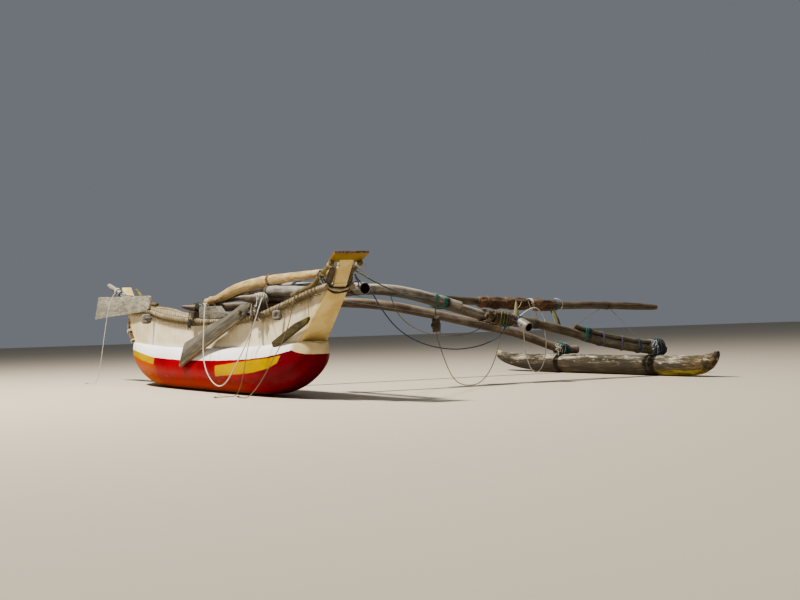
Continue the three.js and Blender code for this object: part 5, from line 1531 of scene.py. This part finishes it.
TANGLES = [
    # Name, middle, size, runs, diameter, colour, seed.
    ("bow_tangle_brown", (1.985, -0.228, 0.875), (0.075, 0.022, 0.055), 6, 0.01, "brown", 3),
    ("bow_tangle_black", (2.01, -0.226, 0.9), (0.055, 0.02, 0.045), 4, 0.009, "black", 4),
    ("bow_tangle_white", (1.955, -0.226, 0.91), (0.06, 0.022, 0.04), 3, 0.008, "white", 5),
    ("aft_tangle_black", (-0.29, -0.215, 0.795), (0.08, 0.02, 0.045), 7, 0.012, "black", 6),
    ("aft_tangle_brown", (-0.27, -0.214, 0.8), (0.07, 0.02, 0.05), 4, 0.01, "brown", 7),
    ("float_bow_grey", (1.84, 4.87, 0.365), (0.08, 0.085, 0.072), 7, 0.011, "grey", 20),
    ("float_bow_white", (1.86, 4.84, 0.37), (0.078, 0.08, 0.07), 3, 0.009, "white", 21),
    ("float_bow_teal", (1.85, 4.9, 0.36), (0.08, 0.08, 0.066), 2, 0.01, "teal", 22),
    ("float_bow_blue", (1.87, 4.985, 0.345), (0.055, 0.032, 0.045), 4, 0.014, "blue", 23),
    ("float_aft_teal", (-0.21, 4.87, 0.35), (0.088, 0.1, 0.072), 6, 0.012, "teal", 24),
    ("float_aft_white", (-0.18, 4.8, 0.33), (0.08, 0.075, 0.075), 4, 0.012, "white", 25),
    ("float_aft_grey", (-0.2, 4.9, 0.34), (0.086, 0.1, 0.07), 5, 0.011, "grey", 26),
    ("float_aft_black", (-0.2, 4.85, 0.33), (0.08, 0.095, 0.066), 3, 0.01, "black", 27),
    ("stern_pole_white", (-3.47, -0.128, 1.218), (0.11, 0.042, 0.046), 5, 0.013, "white", 28),
    ("stern_pole_grey", (-3.54, -0.14, 1.243), (0.07, 0.042, 0.042), 4, 0.013, "grey", 29),
    ("stern_pole_blue", (-3.43, -0.122, 1.206), (0.06, 0.044, 0.04), 2, 0.011, "blue", 30),
    ("spar_tie_teal", (1.719, 2.05, 1.0), (0.09, 0.03, 0.02), 3, 0.01, "teal", 31),
    ("joint_tie_teal", (1.9, 2.78, 0.655), (0.03, 0.05, 0.024), 3, 0.011, "teal", 32),
    ("block_rags", (1.85, 1.925, 0.69), (0.058, 0.055, 0.062), 4, 0.012, "brown", 33),
    ("block_white", (1.852, 1.922, 0.765), (0.036, 0.036, 0.046), 2, 0.01, "white", 34),
]
for row in TANGLES:
    tangle(*row)
print("hanging block, stern bundle and tangles")

# %% [markdown]
# Eight ropes hang free or lie on the ground. Each follows the same route as its solid, point for point. The
# laid rope comes from the tree above, and ends on the ground are finished with a knot.

# %% Free ropes
ROPES = {
    "rope_near_loop": (0.015, "white", "object", [
        (0.238, -0.15, 0.95), (0.236, -0.156, 0.99), (0.25, -0.176, 1.01), (0.282, -0.2, 1.0),
        (0.325, -0.226, 0.958), (0.372, -0.248, 0.9), (0.425, -0.272, 0.82), (0.485, -0.3, 0.72),
        (0.545, -0.326, 0.62), (0.6, -0.35, 0.52), (0.665, -0.372, 0.43), (0.75, -0.392, 0.345),
        (0.86, -0.408, 0.262), (1.0, -0.418, 0.185), (1.15, -0.422, 0.13), (1.3, -0.424, 0.108),
        (1.45, -0.424, 0.125), (1.59, -0.422, 0.18), (1.72, -0.42, 0.26), (1.85, -0.416, 0.35),
        (1.98, -0.41, 0.445), (2.095, -0.4, 0.545), (2.19, -0.385, 0.65), (2.245, -0.362, 0.75),
        (2.255, -0.33, 0.845), (2.21, -0.285, 0.925), (2.12, -0.23, 0.98), (2.02, -0.18, 1.01),
        (1.94, -0.144, 1.018), (1.89, -0.122, 1.014),
    ]),
    "rope_near_drop": (0.011, "coir", "knot", [
        (2.962, -0.146, 1.05), (2.966, -0.17, 1.06), (2.972, -0.194, 1.042), (2.982, -0.218, 0.99),
        (2.994, -0.24, 0.915), (2.992, -0.262, 0.82), (2.975, -0.286, 0.72), (2.946, -0.308, 0.636),
        (2.908, -0.328, 0.564), (2.85, -0.345, 0.494), (2.774, -0.36, 0.422), (2.69, -0.375, 0.34),
        (2.6, -0.388, 0.258), (2.49, -0.398, 0.178), (2.37, -0.404, 0.108), (2.25, -0.408, 0.052),
        (2.14, -0.41, 0.018), (2.04, -0.41, 0.007), (1.94, -0.408, 0.0065), (1.85, -0.404, 0.0065),
    ]),
    "rope_near_line": (0.01, "coir", "knot", [
        (1.8, -0.211, 0.768), (1.801, -0.214, 0.745), (1.804, -0.222, 0.714), (1.822, -0.25, 0.611),
        (1.846, -0.285, 0.508), (1.864, -0.316, 0.396), (1.862, -0.338, 0.283), (1.838, -0.352, 0.18),
        (1.786, -0.362, 0.096), (1.732, -0.37, 0.043), (1.684, -0.382, 0.014), (1.65, -0.406, 0.006),
        (1.634, -0.448, 0.006), (1.636, -0.5, 0.006), (1.654, -0.552, 0.006), (1.69, -0.596, 0.006),
    ]),
    "rope_stern_drop": (0.012, "white", "knot", [
        (-3.636, -0.172, 1.262), (-3.638, -0.192, 1.246), (-3.642, -0.214, 1.222), (-3.648, -0.236, 1.178),
        (-3.654, -0.264, 1.104), (-3.66, -0.289, 1.008), (-3.666, -0.31, 0.9), (-3.672, -0.33, 0.78),
        (-3.678, -0.348, 0.66), (-3.684, -0.366, 0.54), (-3.69, -0.384, 0.42), (-3.698, -0.402, 0.3),
        (-3.708, -0.42, 0.19), (-3.722, -0.44, 0.096), (-3.744, -0.464, 0.034), (-3.78, -0.494, 0.008),
        (-3.83, -0.526, 0.007), (-3.89, -0.556, 0.007),
    ]),
    "rope_head_sag": (0.015, "blue", "object", [
        (1.868, 1.096, 1.1), (1.896, 1.1, 1.092), (1.922, 1.112, 1.066), (1.94, 1.136, 1.01),
        (1.952, 1.18, 0.928), (1.96, 1.238, 0.836), (1.966, 1.31, 0.742), (1.969, 1.4, 0.652),
        (1.971, 1.51, 0.574), (1.972, 1.64, 0.508), (1.973, 1.79, 0.458), (1.973, 1.95, 0.426),
        (1.972, 2.11, 0.413), (1.97, 2.27, 0.421), (1.966, 2.42, 0.446), (1.958, 2.55, 0.486),
        (1.946, 2.656, 0.536), (1.93, 2.73, 0.59), (1.908, 2.77, 0.644), (1.882, 2.78, 0.694),
    ]),
    "rope_boom_sag": (0.011, "coir", "object", [
        (1.738, 1.42, 1.054), (1.734, 1.432, 1.02), (1.73, 1.448, 0.974), (1.726, 1.476, 0.902),
        (1.722, 1.52, 0.826), (1.72, 1.59, 0.75), (1.718, 1.686, 0.682), (1.716, 1.8, 0.626),
        (1.714, 1.93, 0.586), (1.712, 2.07, 0.562), (1.71, 2.21, 0.555), (1.71, 2.34, 0.566),
        (1.711, 2.45, 0.59), (1.714, 2.54, 0.624), (1.718, 2.61, 0.664), (1.724, 2.654, 0.706),
    ]),
    "rope_block_drop": (0.011, "coir", "object", [
        (1.84, 1.925, 0.616), (1.841, 1.928, 0.594), (1.843, 1.936, 0.554), (1.846, 1.95, 0.498),
        (1.85, 1.97, 0.428), (1.854, 1.996, 0.348), (1.858, 2.026, 0.263), (1.862, 2.062, 0.178),
        (1.866, 2.106, 0.102), (1.87, 2.162, 0.045), (1.876, 2.232, 0.014), (1.882, 2.31, 0.006),
        (1.888, 2.39, 0.014), (1.894, 2.462, 0.052), (1.898, 2.524, 0.112), (1.902, 2.578, 0.19),
        (1.905, 2.624, 0.28), (1.906, 2.66, 0.38), (1.904, 2.688, 0.48), (1.899, 2.71, 0.57),
        (1.89, 2.726, 0.64), (1.876, 2.736, 0.704),
    ]),
    "rope_joint_loop": (0.014, "white", "object", [
        (1.842, 3.33, 0.616), (1.845, 3.331, 0.59), (1.852, 3.332, 0.56), (1.866, 3.33, 0.514),
        (1.884, 3.322, 0.446), (1.904, 3.304, 0.368), (1.922, 3.278, 0.29), (1.938, 3.244, 0.215),
        (1.95, 3.204, 0.158), (1.957, 3.16, 0.125), (1.96, 3.116, 0.12), (1.962, 3.074, 0.145),
        (1.963, 3.04, 0.2), (1.964, 3.014, 0.275), (1.964, 2.996, 0.36), (1.964, 2.985, 0.45),
        (1.964, 2.979, 0.54), (1.964, 2.976, 0.61), (1.964, 2.975, 0.65),
    ]),
}


def overhand_knot(name, place, diameter, color, heading):
    """A small knot with a frayed tail at the end of a rope."""
    ahead = Vector(heading).normalized()
    side = ahead.cross(Vector((0, 0, 1))).normalized()
    size = diameter * 0.55
    knot = []
    for k in range(61):
        t = -math.pi * 0.93 + 2 * math.pi * 0.93 * k / 60
        u = math.sin(t) + 2 * math.sin(2 * t)
        v = math.cos(t) - 2 * math.cos(2 * t)
        w = -math.sin(3 * t)
        lift = Vector((0, 0, size * 0.7 * w))
        knot.append(place + ahead * (size * v * 0.8) + side * (size * u * 0.8) + lift)
    rng = random.Random(int(diameter * 1e5))
    fibres = []
    for _ in range(18):
        turn = rng.uniform(-0.7, 0.7)
        end = place + (ahead * math.cos(turn) + side * math.sin(turn)) * diameter * rng.uniform(2.6, 3.8)
        end.z = max(0.0015, place.z - diameter * rng.uniform(0.1, 0.9))
        fibres.append([place + ahead * diameter * 0.8, place.lerp(end, 0.6) + Vector((0, 0, 0.002)), end])
    return [
        rope(name, [knot], diameter * 0.92, color, lay=3.2),
        rope(name + "_fray", fibres, diameter * 0.16, color, lay=8, section=6),
    ]


for node, (diameter, color, far_end, route) in ROPES.items():
    path = through(route, 0.02)
    length = shares(path)[1]
    pieces = []
    if far_end == "knot":
        middle = path[-1] + Vector((0, 0, diameter * 0.55))
        pieces = overhand_knot(node + "_knot", middle, diameter, color, path[-1] - path[-6])
    laid = rope(node + "_laid", [path], diameter, color, [node])
    print(node, round(length, 2), "m")

# %% [markdown]
# Lashings hold the canoe together. At the butts, each loop goes over the boom, down outside the rail, under
# it through a hole in the plank side, and up again inside, so that the loops cross on top of the boom.

# %% Loops that tie a boom down on its chock
def tie_down(x, boom_z, loops, seed):
    """Places of a rope that ties a boom at x to the near rail, over the boom and under the rail."""
    rng = random.Random(seed)
    boom_radius, rope_radius = 0.049, 0.006
    rail_y, rail_z = -(gunwale_half(x) + RAIL_OUT), sheer(x)
    out, under, inner = rail_y - 0.046, rail_z - 0.052, -0.082
    run = []
    for k in range(loops):
        spread = boom_radius + rope_radius + 0.002 + rng.uniform(0.0, 0.004)
        wide = 0.072 + 0.007 * k + rng.uniform(-0.003, 0.003)
        top = boom_z + boom_radius + rope_radius + 0.004 * (k % 3)
        shift = -0.02 + 0.009 * k + rng.uniform(-0.004, 0.004)
        for flip in (1, -1):
            run += [
                (x + flip * wide, out + shift * 0.4, rail_z + 0.01), (x + flip * wide * 0.9, rail_y, under),
                (x + flip * wide, inner, rail_z), (x + flip * spread, inner - 0.01, boom_z - 0.01),
                (x + flip * spread * 0.55, -0.1 - shift, top - 0.006), (x, -0.128 + shift, top + 0.003),
                (x - flip * spread * 0.55, -0.155 - shift, top - 0.006),
                (x - flip * spread, out * 0.92, boom_z - 0.015),
            ]
    return through(run, 0.012)


rope("bow_butt_tie", [tie_down(1.84, 1.01, 4, 3)], 0.011, "white", ["lashing_bow_butt"])
rope("bow_butt_turns", [
    turns((1.84, -0.188, 1.012), (1.84, -0.072, 1.01), 0.0545, 0.0545, 9, seed=5, slant=0.01),
    turns((1.84, -0.08, 1.01), (1.84, -0.176, 1.012), 0.064, 0.064, 4, seed=6, slant=-0.03),
], 0.01, "white")
rope("aft_butt_tie", [tie_down(-0.22, 0.965, 3, 4)], 0.011, "brown", ["lashing_aft_butt"])
rope("aft_butt_turns", [
    turns((-0.22, -0.118, 0.966), (-0.22, -0.046, 0.965), 0.0545, 0.0545, 5, seed=7),
], 0.011, "white")
rope("aft_butt_green", [
    turns((-0.22, -0.128, 0.966), (-0.22, -0.1, 0.966), 0.0555, 0.0555, 3, seed=8),
], 0.009, "teal")
print("the butts are tied down")

# %% [markdown]
# Elsewhere a lashing is a plain winding, tight and a little uneven. Each row of the table gives the line it
# winds along, its half-width and half-height, its rope and how many turns it has. Rows that share a node
# take the place of that node's plain collar.

# %% Windings
WINDINGS = [
    # Collar, start, end, half-width, half-height, turns, rope, diameter, slant, squareness.
    ("spar", (1.719, 2.005, 0.95), (1.719, 2.045, 0.938), 0.181, 0.06, 4, "teal", 0.011, 0.003, 1.6),
    ("spar", (1.719, 2.05, 0.937), (1.719, 2.085, 0.927), 0.181, 0.06, 3, "black", 0.012, -0.004, 1.6),
    ("joint", (1.7795, 2.56, 0.784), (1.7795, 2.62, 0.772), 0.1215, 0.06, 4, "brown", 0.014, 0.004, 1.6),
    ("joint", (1.7795, 2.65, 0.766), (1.7795, 2.79, 0.741), 0.1215, 0.06, 8, "brown", 0.018, 0.004, 1.6),
    ("joint", (1.7795, 2.805, 0.738), (1.7795, 2.925, 0.717), 0.1215, 0.06, 7, "coir", 0.018, -0.006, 1.6),
    ("joint", (1.7795, 2.72, 0.753), (1.7795, 2.86, 0.727), 0.135, 0.074, 4, "brown", 0.016, 0.03, 1.6),
    ("joint", (1.7795, 2.86, 0.727), (1.7795, 2.74, 0.749), 0.137, 0.077, 3, "green", 0.012, -0.045, 1.6),
    ("float_bow", (1.84, 4.8, 0.345), (1.84, 4.99, 0.336), 0.054, 0.083, 10, "grey", 0.016, 0.005, 1.1),
    ("float_bow", (1.84, 4.83, 0.344), (1.84, 4.965, 0.337), 0.066, 0.095, 5, "black", 0.014, 0.04, 1.1),
    ("float_bow", (1.84, 4.97, 0.337), (1.84, 4.86, 0.342), 0.07, 0.099, 4, "blue", 0.012, -0.05, 1.1),
    ("float_aft", (-0.22, 4.795, 0.336), (-0.22, 4.995, 0.304), 0.056, 0.056, 11, "black", 0.015, 0.004, 1.0),
    ("float_aft", (-0.22, 4.82, 0.331), (-0.22, 4.96, 0.308), 0.068, 0.068, 5, "teal", 0.013, 0.04, 1.0),
    ("float_aft", (-0.22, 4.97, 0.307), (-0.22, 4.85, 0.325), 0.072, 0.072, 3, "white", 0.011, -0.045, 1.0),
    # Smaller ones that the solids leave out.
    (None, (1.84, 3.862, 0.536), (1.84, 3.905, 0.524), 0.053, 0.081, 4, "teal", 0.01, 0.004, 1.1),
    (None, (1.84, 3.912, 0.522), (1.84, 3.955, 0.509), 0.053, 0.081, 4, "black", 0.01, -0.006, 1.1),
    (None, (1.84, 4.085, 0.47), (1.84, 4.115, 0.463), 0.053, 0.081, 3, "violet", 0.009, 0.025, 1.1),
    (None, (1.84, 4.39, 0.405), (1.84, 4.42, 0.4), 0.053, 0.081, 3, "violet", 0.009, -0.025, 1.1),
    (None, (1.84, 4.615, 0.369), (1.84, 4.65, 0.365), 0.053, 0.081, 3, "blue", 0.011, 0.003, 1.1),
    (None, (1.84, 3.17, 0.677), (1.84, 3.235, 0.663), 0.053, 0.053, 4, "brown", 0.01, 0.003, 1.0),
    (None, (1.895, 2.964, 0.701), (1.925, 2.968, 0.688), 0.056, 0.056, 2, "blue", 0.011, 0.002, 1.0),
    (None, (1.607, 3.6, 0.873), (1.607, 3.65, 0.872), 0.05, 0.05, 4, "teal", 0.011, 0.003, 1.0),
    (None, (1.607, 2.59, 0.94), (1.607, 2.63, 0.937), 0.047, 0.047, 3, "coir", 0.009, 0.003, 1.0),
    (None, (1.607, 2.93, 0.916), (1.607, 2.96, 0.914), 0.062, 0.062, 3, "coir", 0.008, 0.008, 1.0),
    (None, (1.607, 3.27, 0.895), (1.607, 3.31, 0.892), 0.062, 0.062, 3, "white", 0.009, 0.01, 1.0),
    (None, (1.607, 2.7, 0.934), (1.607, 2.73, 0.932), 0.062, 0.062, 2, "coir", 0.008, 0.008, 1.0),
    (None, (1.607, 4.33, 0.859), (1.607, 4.38, 0.858), 0.044, 0.044, 3, "brown", 0.008, 0.004, 1.0),
    (None, (1.82, -0.02, 1.092), (1.86, -0.02, 1.091), 0.058, 0.058, 3, "coir", 0.011, 0.004, 1.0),
    (None, (-0.245, 0.098, 1.056), (-0.195, 0.098, 1.055), 0.047, 0.047, 3, "coir", 0.011, 0.004, 1.0),
    (None, (1.815, 0.096, 1.102), (1.865, 0.096, 1.102), 0.047, 0.047, 3, "black", 0.011, 0.004, 1.0),
    (None, (1.8, 0.292, 1.128), (1.88, 0.292, 1.124), 0.059, 0.059, 5, "blue", 0.012, 0.004, 1.0),
    (None, (1.806, 0.004, 1.206), (1.846, 0.004, 1.207), 0.06, 0.06, 3, "coir", 0.01, 0.004, 1.0),
    (None, (3.3, 0.288, 1.065), (3.34, 0.288, 1.064), 0.059, 0.059, 3, "black", 0.01, 0.004, 1.0),
    (None, (-3.47, -0.128, 1.216), (-3.52, -0.137, 1.234), 0.037, 0.037, 4, "blue", 0.01, 0.004, 1.0),
    (None, (-3.61, -0.152, 1.266), (-3.655, -0.16, 1.281), 0.037, 0.037, 4, "white", 0.011, 0.004, 1.0),
]
collared = set()
for k, (collar, start, end, wide, high, count, color, diameter, slant, power) in enumerate(WINDINGS):
    run = turns(start, end, wide + diameter / 2, high + diameter / 2, count, 200 + k, 0.002, slant, power)
    nodes = [f"lashing_{collar}"] if collar and collar not in collared else ()
    rope(f"winding_{k:02d}", [run], diameter, color, nodes)
    collared.add(collar)
print(len(WINDINGS), "windings")

# %% [markdown]
# Coir stitches pull each rail down on its plank side. Every stitch goes from a hole in the plank out and over
# the rail and back in, and broken fibres hang from it in a fringe.

# %% Stitches along the rails
def stitch(x, side, rng):
    """One stitch round the rail at x, from the plank's outside over the rail to its inside."""
    y, z = gunwale_half(x), sheer(x)
    centre_y = y + RAIL_OUT
    hole = z - 0.04 + rng.uniform(-0.006, 0.004)
    lean = rng.uniform(-0.012, 0.012)
    run = [(x, y - 0.01, hole), (x, y + 0.004, hole - 0.004)]
    for degrees in (-60, -25, 10, 45, 80, 115, 150):
        a = math.radians(degrees)
        share = (degrees + 60) / 210
        run.append((x + lean * share, centre_y + 0.0365 * math.cos(a), z + 0.0365 * math.sin(a)))
    run += [(x + lean, y - 0.024, z + 0.012), (x + lean, y - 0.022, hole)]
    return through([(px, side * py, pz) for px, py, pz in run], 0.008)


rng = random.Random(12)
near_runs, far_runs = [], []
x = -3.3
while x < 3.4:
    near_runs.append(stitch(x, -1, rng))
    if rng.random() < 0.5:
        near_runs.append(stitch(x + 0.012, -1, rng))
    far_runs.append(stitch(x + 0.03, 1, rng))
    x += rng.uniform(0.062, 0.105)
for name, runs in (("stitches_near", near_runs), ("stitches_far", far_runs)):
    rope(name, runs, 0.0062, "coir", lay=5.5, steps=4, section=8)
print(len(near_runs) + len(far_runs), "stitches")

# %% [markdown]
# Geometry Nodes scatters the fringe. A short line under the rail is sampled, and at each sample a thin hair
# is set with its own length, lean and heading from a fixed seed.

# %% Geometry Nodes: a hanging fringe
fringe_tree, FRINGE_INPUTS, given, make = start_tree("hanging_fringe", [
    ("Spacing", "Float", 0.006), ("Short", "Float", 0.01), ("Long", "Float", 0.055),
    ("Thickness", "Float", 0.0008), ("Seed", "Int", 3), ("Material", "Material", None),
])
spots = make(
    "GeometryNodeCurveToPoints", [("Curve", given["Geometry"]), ("Length", given["Spacing"])], mode="LENGTH",
)
hair = make("GeometryNodeCurvePrimitiveBezierSegment", [
    ("Resolution", 5), ("Start", (0, 0, 0.006)), ("Start Handle", (0.1, 0.05, -0.35)),
    ("End Handle", (0.22, -0.12, -0.7)), ("End", (0.12, 0.05, -1.0)),
])


def random_number(low, high, seed_shift):
    """A number between two others from a Random Value node, with its own shift of the seed."""
    feeds = [(2, low), (3, high), ("Seed", given["Seed"] + seed_shift)]
    return make("FunctionNodeRandomValue", feeds, 1, data_type="FLOAT")


grow = random_number(given["Short"], given["Long"], 0)
lean, heading = random_number(-0.35, 0.35, 1), random_number(0.0, 6.28, 2)
spin = make("ShaderNodeCombineXYZ", [("X", lean), ("Z", heading)])
hairs = make("GeometryNodeInstanceOnPoints", [
    ("Points", spots), ("Instance", hair), ("Rotation", spin), ("Scale", grow),
])
real = make("GeometryNodeRealizeInstances", [("Geometry", hairs)])
fine = make(
    "GeometryNodeCurvePrimitiveCircle", [("Resolution", 3), ("Radius", given["Thickness"])], mode="RADIUS",
)
swept = make("GeometryNodeCurveToMesh", [("Curve", real), ("Profile Curve", fine), ("Fill Caps", True)])
end_tree(fringe_tree, make("GeometryNodeSetMaterial", [("Geometry", swept), ("Material", given["Material"])]))


def fringe(name, runs, color, *settings):
    """Hairs under one or more lines. The settings are spacing, shortest, longest, thickness and seed."""
    values = dict(zip(FRINGE_INPUTS.values(), (*settings, ROPE[color])))
    keep(grown_mesh(curve_object(name + "_line", runs), name, fringe_tree, values))


def under_rail(x0, x1, side):
    """Places under a rail from x0 to x1."""
    steps = int((x1 - x0) / 0.05)
    xs = [x0 + (x1 - x0) * k / steps for k in range(steps + 1)]
    return [at(x, side * (gunwale_half(x) + 0.034), sheer(x) - 0.034) for x in xs]


near_lines = [under_rail(-3.1, -0.35, -1), under_rail(1.95, 3.2, -1)]
fringe("fringe_near", near_lines, "straw", 0.0026, 0.012, 0.07, 0.0011, 3)
fringe("fringe_near_short", [under_rail(-0.35, 1.95, -1)], "straw", 0.007, 0.006, 0.028, 0.001, 5)
fringe("fringe_far", [under_rail(-3.1, 3.2, 1)], "coir", 0.006, 0.008, 0.045, 0.0008, 7)
print("the fringe")

# %% [markdown]
# Ropes under load run straight between the pieces that they tie. Thin ones along the booms sag a little
# between the loops that hold them.

# %% Taut rigging
TAUT = [
    # Rope, diameter, places.
    ("coir", 0.007, [(1.607, 4.345, 0.858), (1.72, 4.03, 0.735), (1.84, 3.711, 0.604)]),
    ("grey", 0.007, [(1.607, 4.362, 0.858), (1.72, 4.5, 0.67), (1.84, 4.64, 0.452)]),
    ("black", 0.015, [(3.6, 0.16, 1.222), (3.1, 0.62, 1.118), (2.5, 1.22, 1.012), (2.1, 1.62, 0.985),
        (1.83, 1.99, 0.975)]),
    ("cream", 0.011, [(3.735, -0.172, 1.318), (3.742, -0.148, 1.292), (3.746, -0.105, 1.268),
        (3.742, -0.06, 1.262)]),
    ("green", 0.02, [(3.63, 0.168, 1.208), (3.6, 0.215, 1.192), (3.57, 0.262, 1.176), (3.555, 0.3, 1.158)]),
    ("violet", 0.018, [(3.57, 0.165, 1.19), (3.54, 0.2, 1.15), (3.52, 0.235, 1.125), (3.48, 0.262, 1.118)]),
    ("violet", 0.016, [(3.585, 0.16, 1.16), (3.56, 0.2, 1.12), (3.51, 0.228, 1.092), (3.45, 0.236, 1.08)]),
    ("teal", 0.009, [(3.44, 0.16, 1.085), (2.9, 0.46, 1.02), (2.3, 0.85, 1.0), (1.905, 1.14, 1.03)]),
    ("blue", 0.01, [(3.4, 0.165, 1.18), (3.2, 0.26, 1.135), (2.95, 0.31, 1.11)]),
    ("teal", 0.008, [(1.895, 1.35, 1.02), (1.895, 1.55, 1.0), (1.89, 1.75, 0.97), (1.88, 1.98, 0.925)]),
    ("grey", 0.006, [(2.9, 0.14, 0.985), (2.15, 1.2, 0.885), (1.3, 2.2, 0.8), (-0.16, 3.6, 0.705)]),
    ("white", 0.01, [(1.6, 3.64, 0.93), (1.65, 3.61, 0.955), (1.69, 3.64, 0.94), (1.7, 3.68, 0.905),
                      (1.69, 3.69, 0.86), (1.66, 3.68, 0.825), (1.63, 3.66, 0.82)]),
    ("white", 0.014, [(1.89, 2.975, 0.752), (1.88, 3.05, 0.8), (1.872, 3.13, 0.838), (1.865, 3.21, 0.846),
                      (1.862, 3.275, 0.8), (1.868, 3.315, 0.73), (1.872, 3.332, 0.672)]),
    ("coir", 0.01, [(1.64, 3.24, 0.955), (1.7, 3.225, 0.9), (1.78, 3.21, 0.8), (1.83, 3.2, 0.72)]),
    ("brown", 0.009, [(1.65, 3.27, 0.95), (1.72, 3.27, 0.88), (1.8, 3.26, 0.76), (1.835, 3.25, 0.705)]),
    ("cream", 0.008, [(1.7, 3.03, 0.83), (1.74, 3.06, 0.86), (1.66, 3.16, 0.93), (1.625, 3.25, 0.96)]),
    ("teal", 0.015, [(1.815, 3.575, 0.605), (1.765, 3.582, 0.7), (1.69, 3.575, 0.79), (1.64, 3.56, 0.85)]),
    ("green", 0.013, [(1.822, 3.54, 0.61), (1.77, 3.532, 0.68), (1.715, 3.538, 0.76), (1.65, 3.54, 0.86)]),
    ("black", 0.012, [(1.835, 3.56, 0.605), (1.79, 3.555, 0.68), (1.73, 3.572, 0.77), (1.655, 3.57, 0.87)]),
    ("teal", 0.012, [(1.79, 3.548, 0.605), (1.745, 3.545, 0.69), (1.69, 3.538, 0.78), (1.625, 3.545, 0.845)]),
    ("coir", 0.006, [(3.234, -0.175, 1.12), (3.245, -0.182, 1.0), (3.235, -0.176, 0.89),
        (3.225, -0.172, 0.795)]),
    ("violet", 0.009, [(1.9, 2.8, 0.75), (1.965, 2.88, 0.7), (2.02, 2.93, 0.655)]),
    ("white", 0.009, [(-3.636, -0.172, 1.262), (-3.4, -0.165, 1.205), (-3.1, -0.17, 1.165),
        (-2.9, -0.178, 1.12)]),
    ("blue", 0.012, [(-3.52, -0.165, 1.24), (-3.25, -0.176, 1.213), (-2.95, -0.182, 1.195),
        (-2.75, -0.19, 1.186)]),
]
for k, (color, diameter, route) in enumerate(TAUT):
    rope(f"taut_{k:02d}", [through(route, 0.03)], diameter, color, section=9)
print(len(TAUT), "taut ropes")

# %% [markdown]
# Ropes are slung across the front of the neck from horn to horn. They take the place of one plain dark sling,
# and the strands differ in colour, thickness and sag.

# %% Slings across the neck
SLING = [
    (3.525, -0.17, 1.232), (3.495, -0.171, 1.182), (3.52, -0.15, 1.116), (3.55, -0.108, 1.064),
    (3.57, -0.062, 1.047), (3.574, 0, 1.045), (3.57, 0.062, 1.047), (3.55, 0.108, 1.064), (3.52, 0.15, 1.116),
    (3.495, 0.171, 1.182), (3.525, 0.17, 1.232),
]
STRANDS = [
    ("black", 0.021, 0.002, 0.023), ("cream", 0.024, 0.008, 0.0), ("black", 0.021, 0.004, -0.024),
    ("violet", 0.015, 0.0, -0.012), ("green", 0.013, 0.012, 0.05), ("black", 0.014, 0.0, 0.036),
]
for k, (color, diameter, ahead, lift) in enumerate(STRANDS):
    run = []
    for j, (x, y, z) in enumerate(SLING):
        sag = math.sin(math.pi * j / (len(SLING) - 1))
        run.append((x + ahead * sag, y * (1.0 - 0.03 * k), z + lift * sag + 0.006 * math.sin(j * 2.1 + k)))
    rope(f"neck_sling_{k}", [through(run, 0.02)], diameter, color, ["lashing_head"] if k == 0 else ())
for side in (-1, 1):
    rope(f"horn_turns_{side}", [
        turns((3.452, side * 0.1405, 1.187), (3.492, side * 0.1415, 1.202), 0.028, 0.028, 4, seed=20 + side),
    ], 0.012, "black")
    rope(f"horn_cord_{side}", [
        turns((3.5, side * 0.1418, 1.204), (3.535, side * 0.1425, 1.217), 0.027, 0.027, 4, seed=30 + side),
        turns((3.69, side * 0.145, 1.27), (3.735, side * 0.146, 1.286), 0.027, 0.027, 4, seed=40 + side),
    ], 0.009, "cream")
wire = [(3.69 + 0.006 * math.sin(3 * a), 0.188 + 0.034 * math.cos(a), 1.252 + 0.04 * math.sin(a))
        for a in (2 * math.pi * k / 12 for k in range(14))]
rope("wire_loop", [through(wire, 0.008)], 0.006, "grey")
print("slings across the neck")
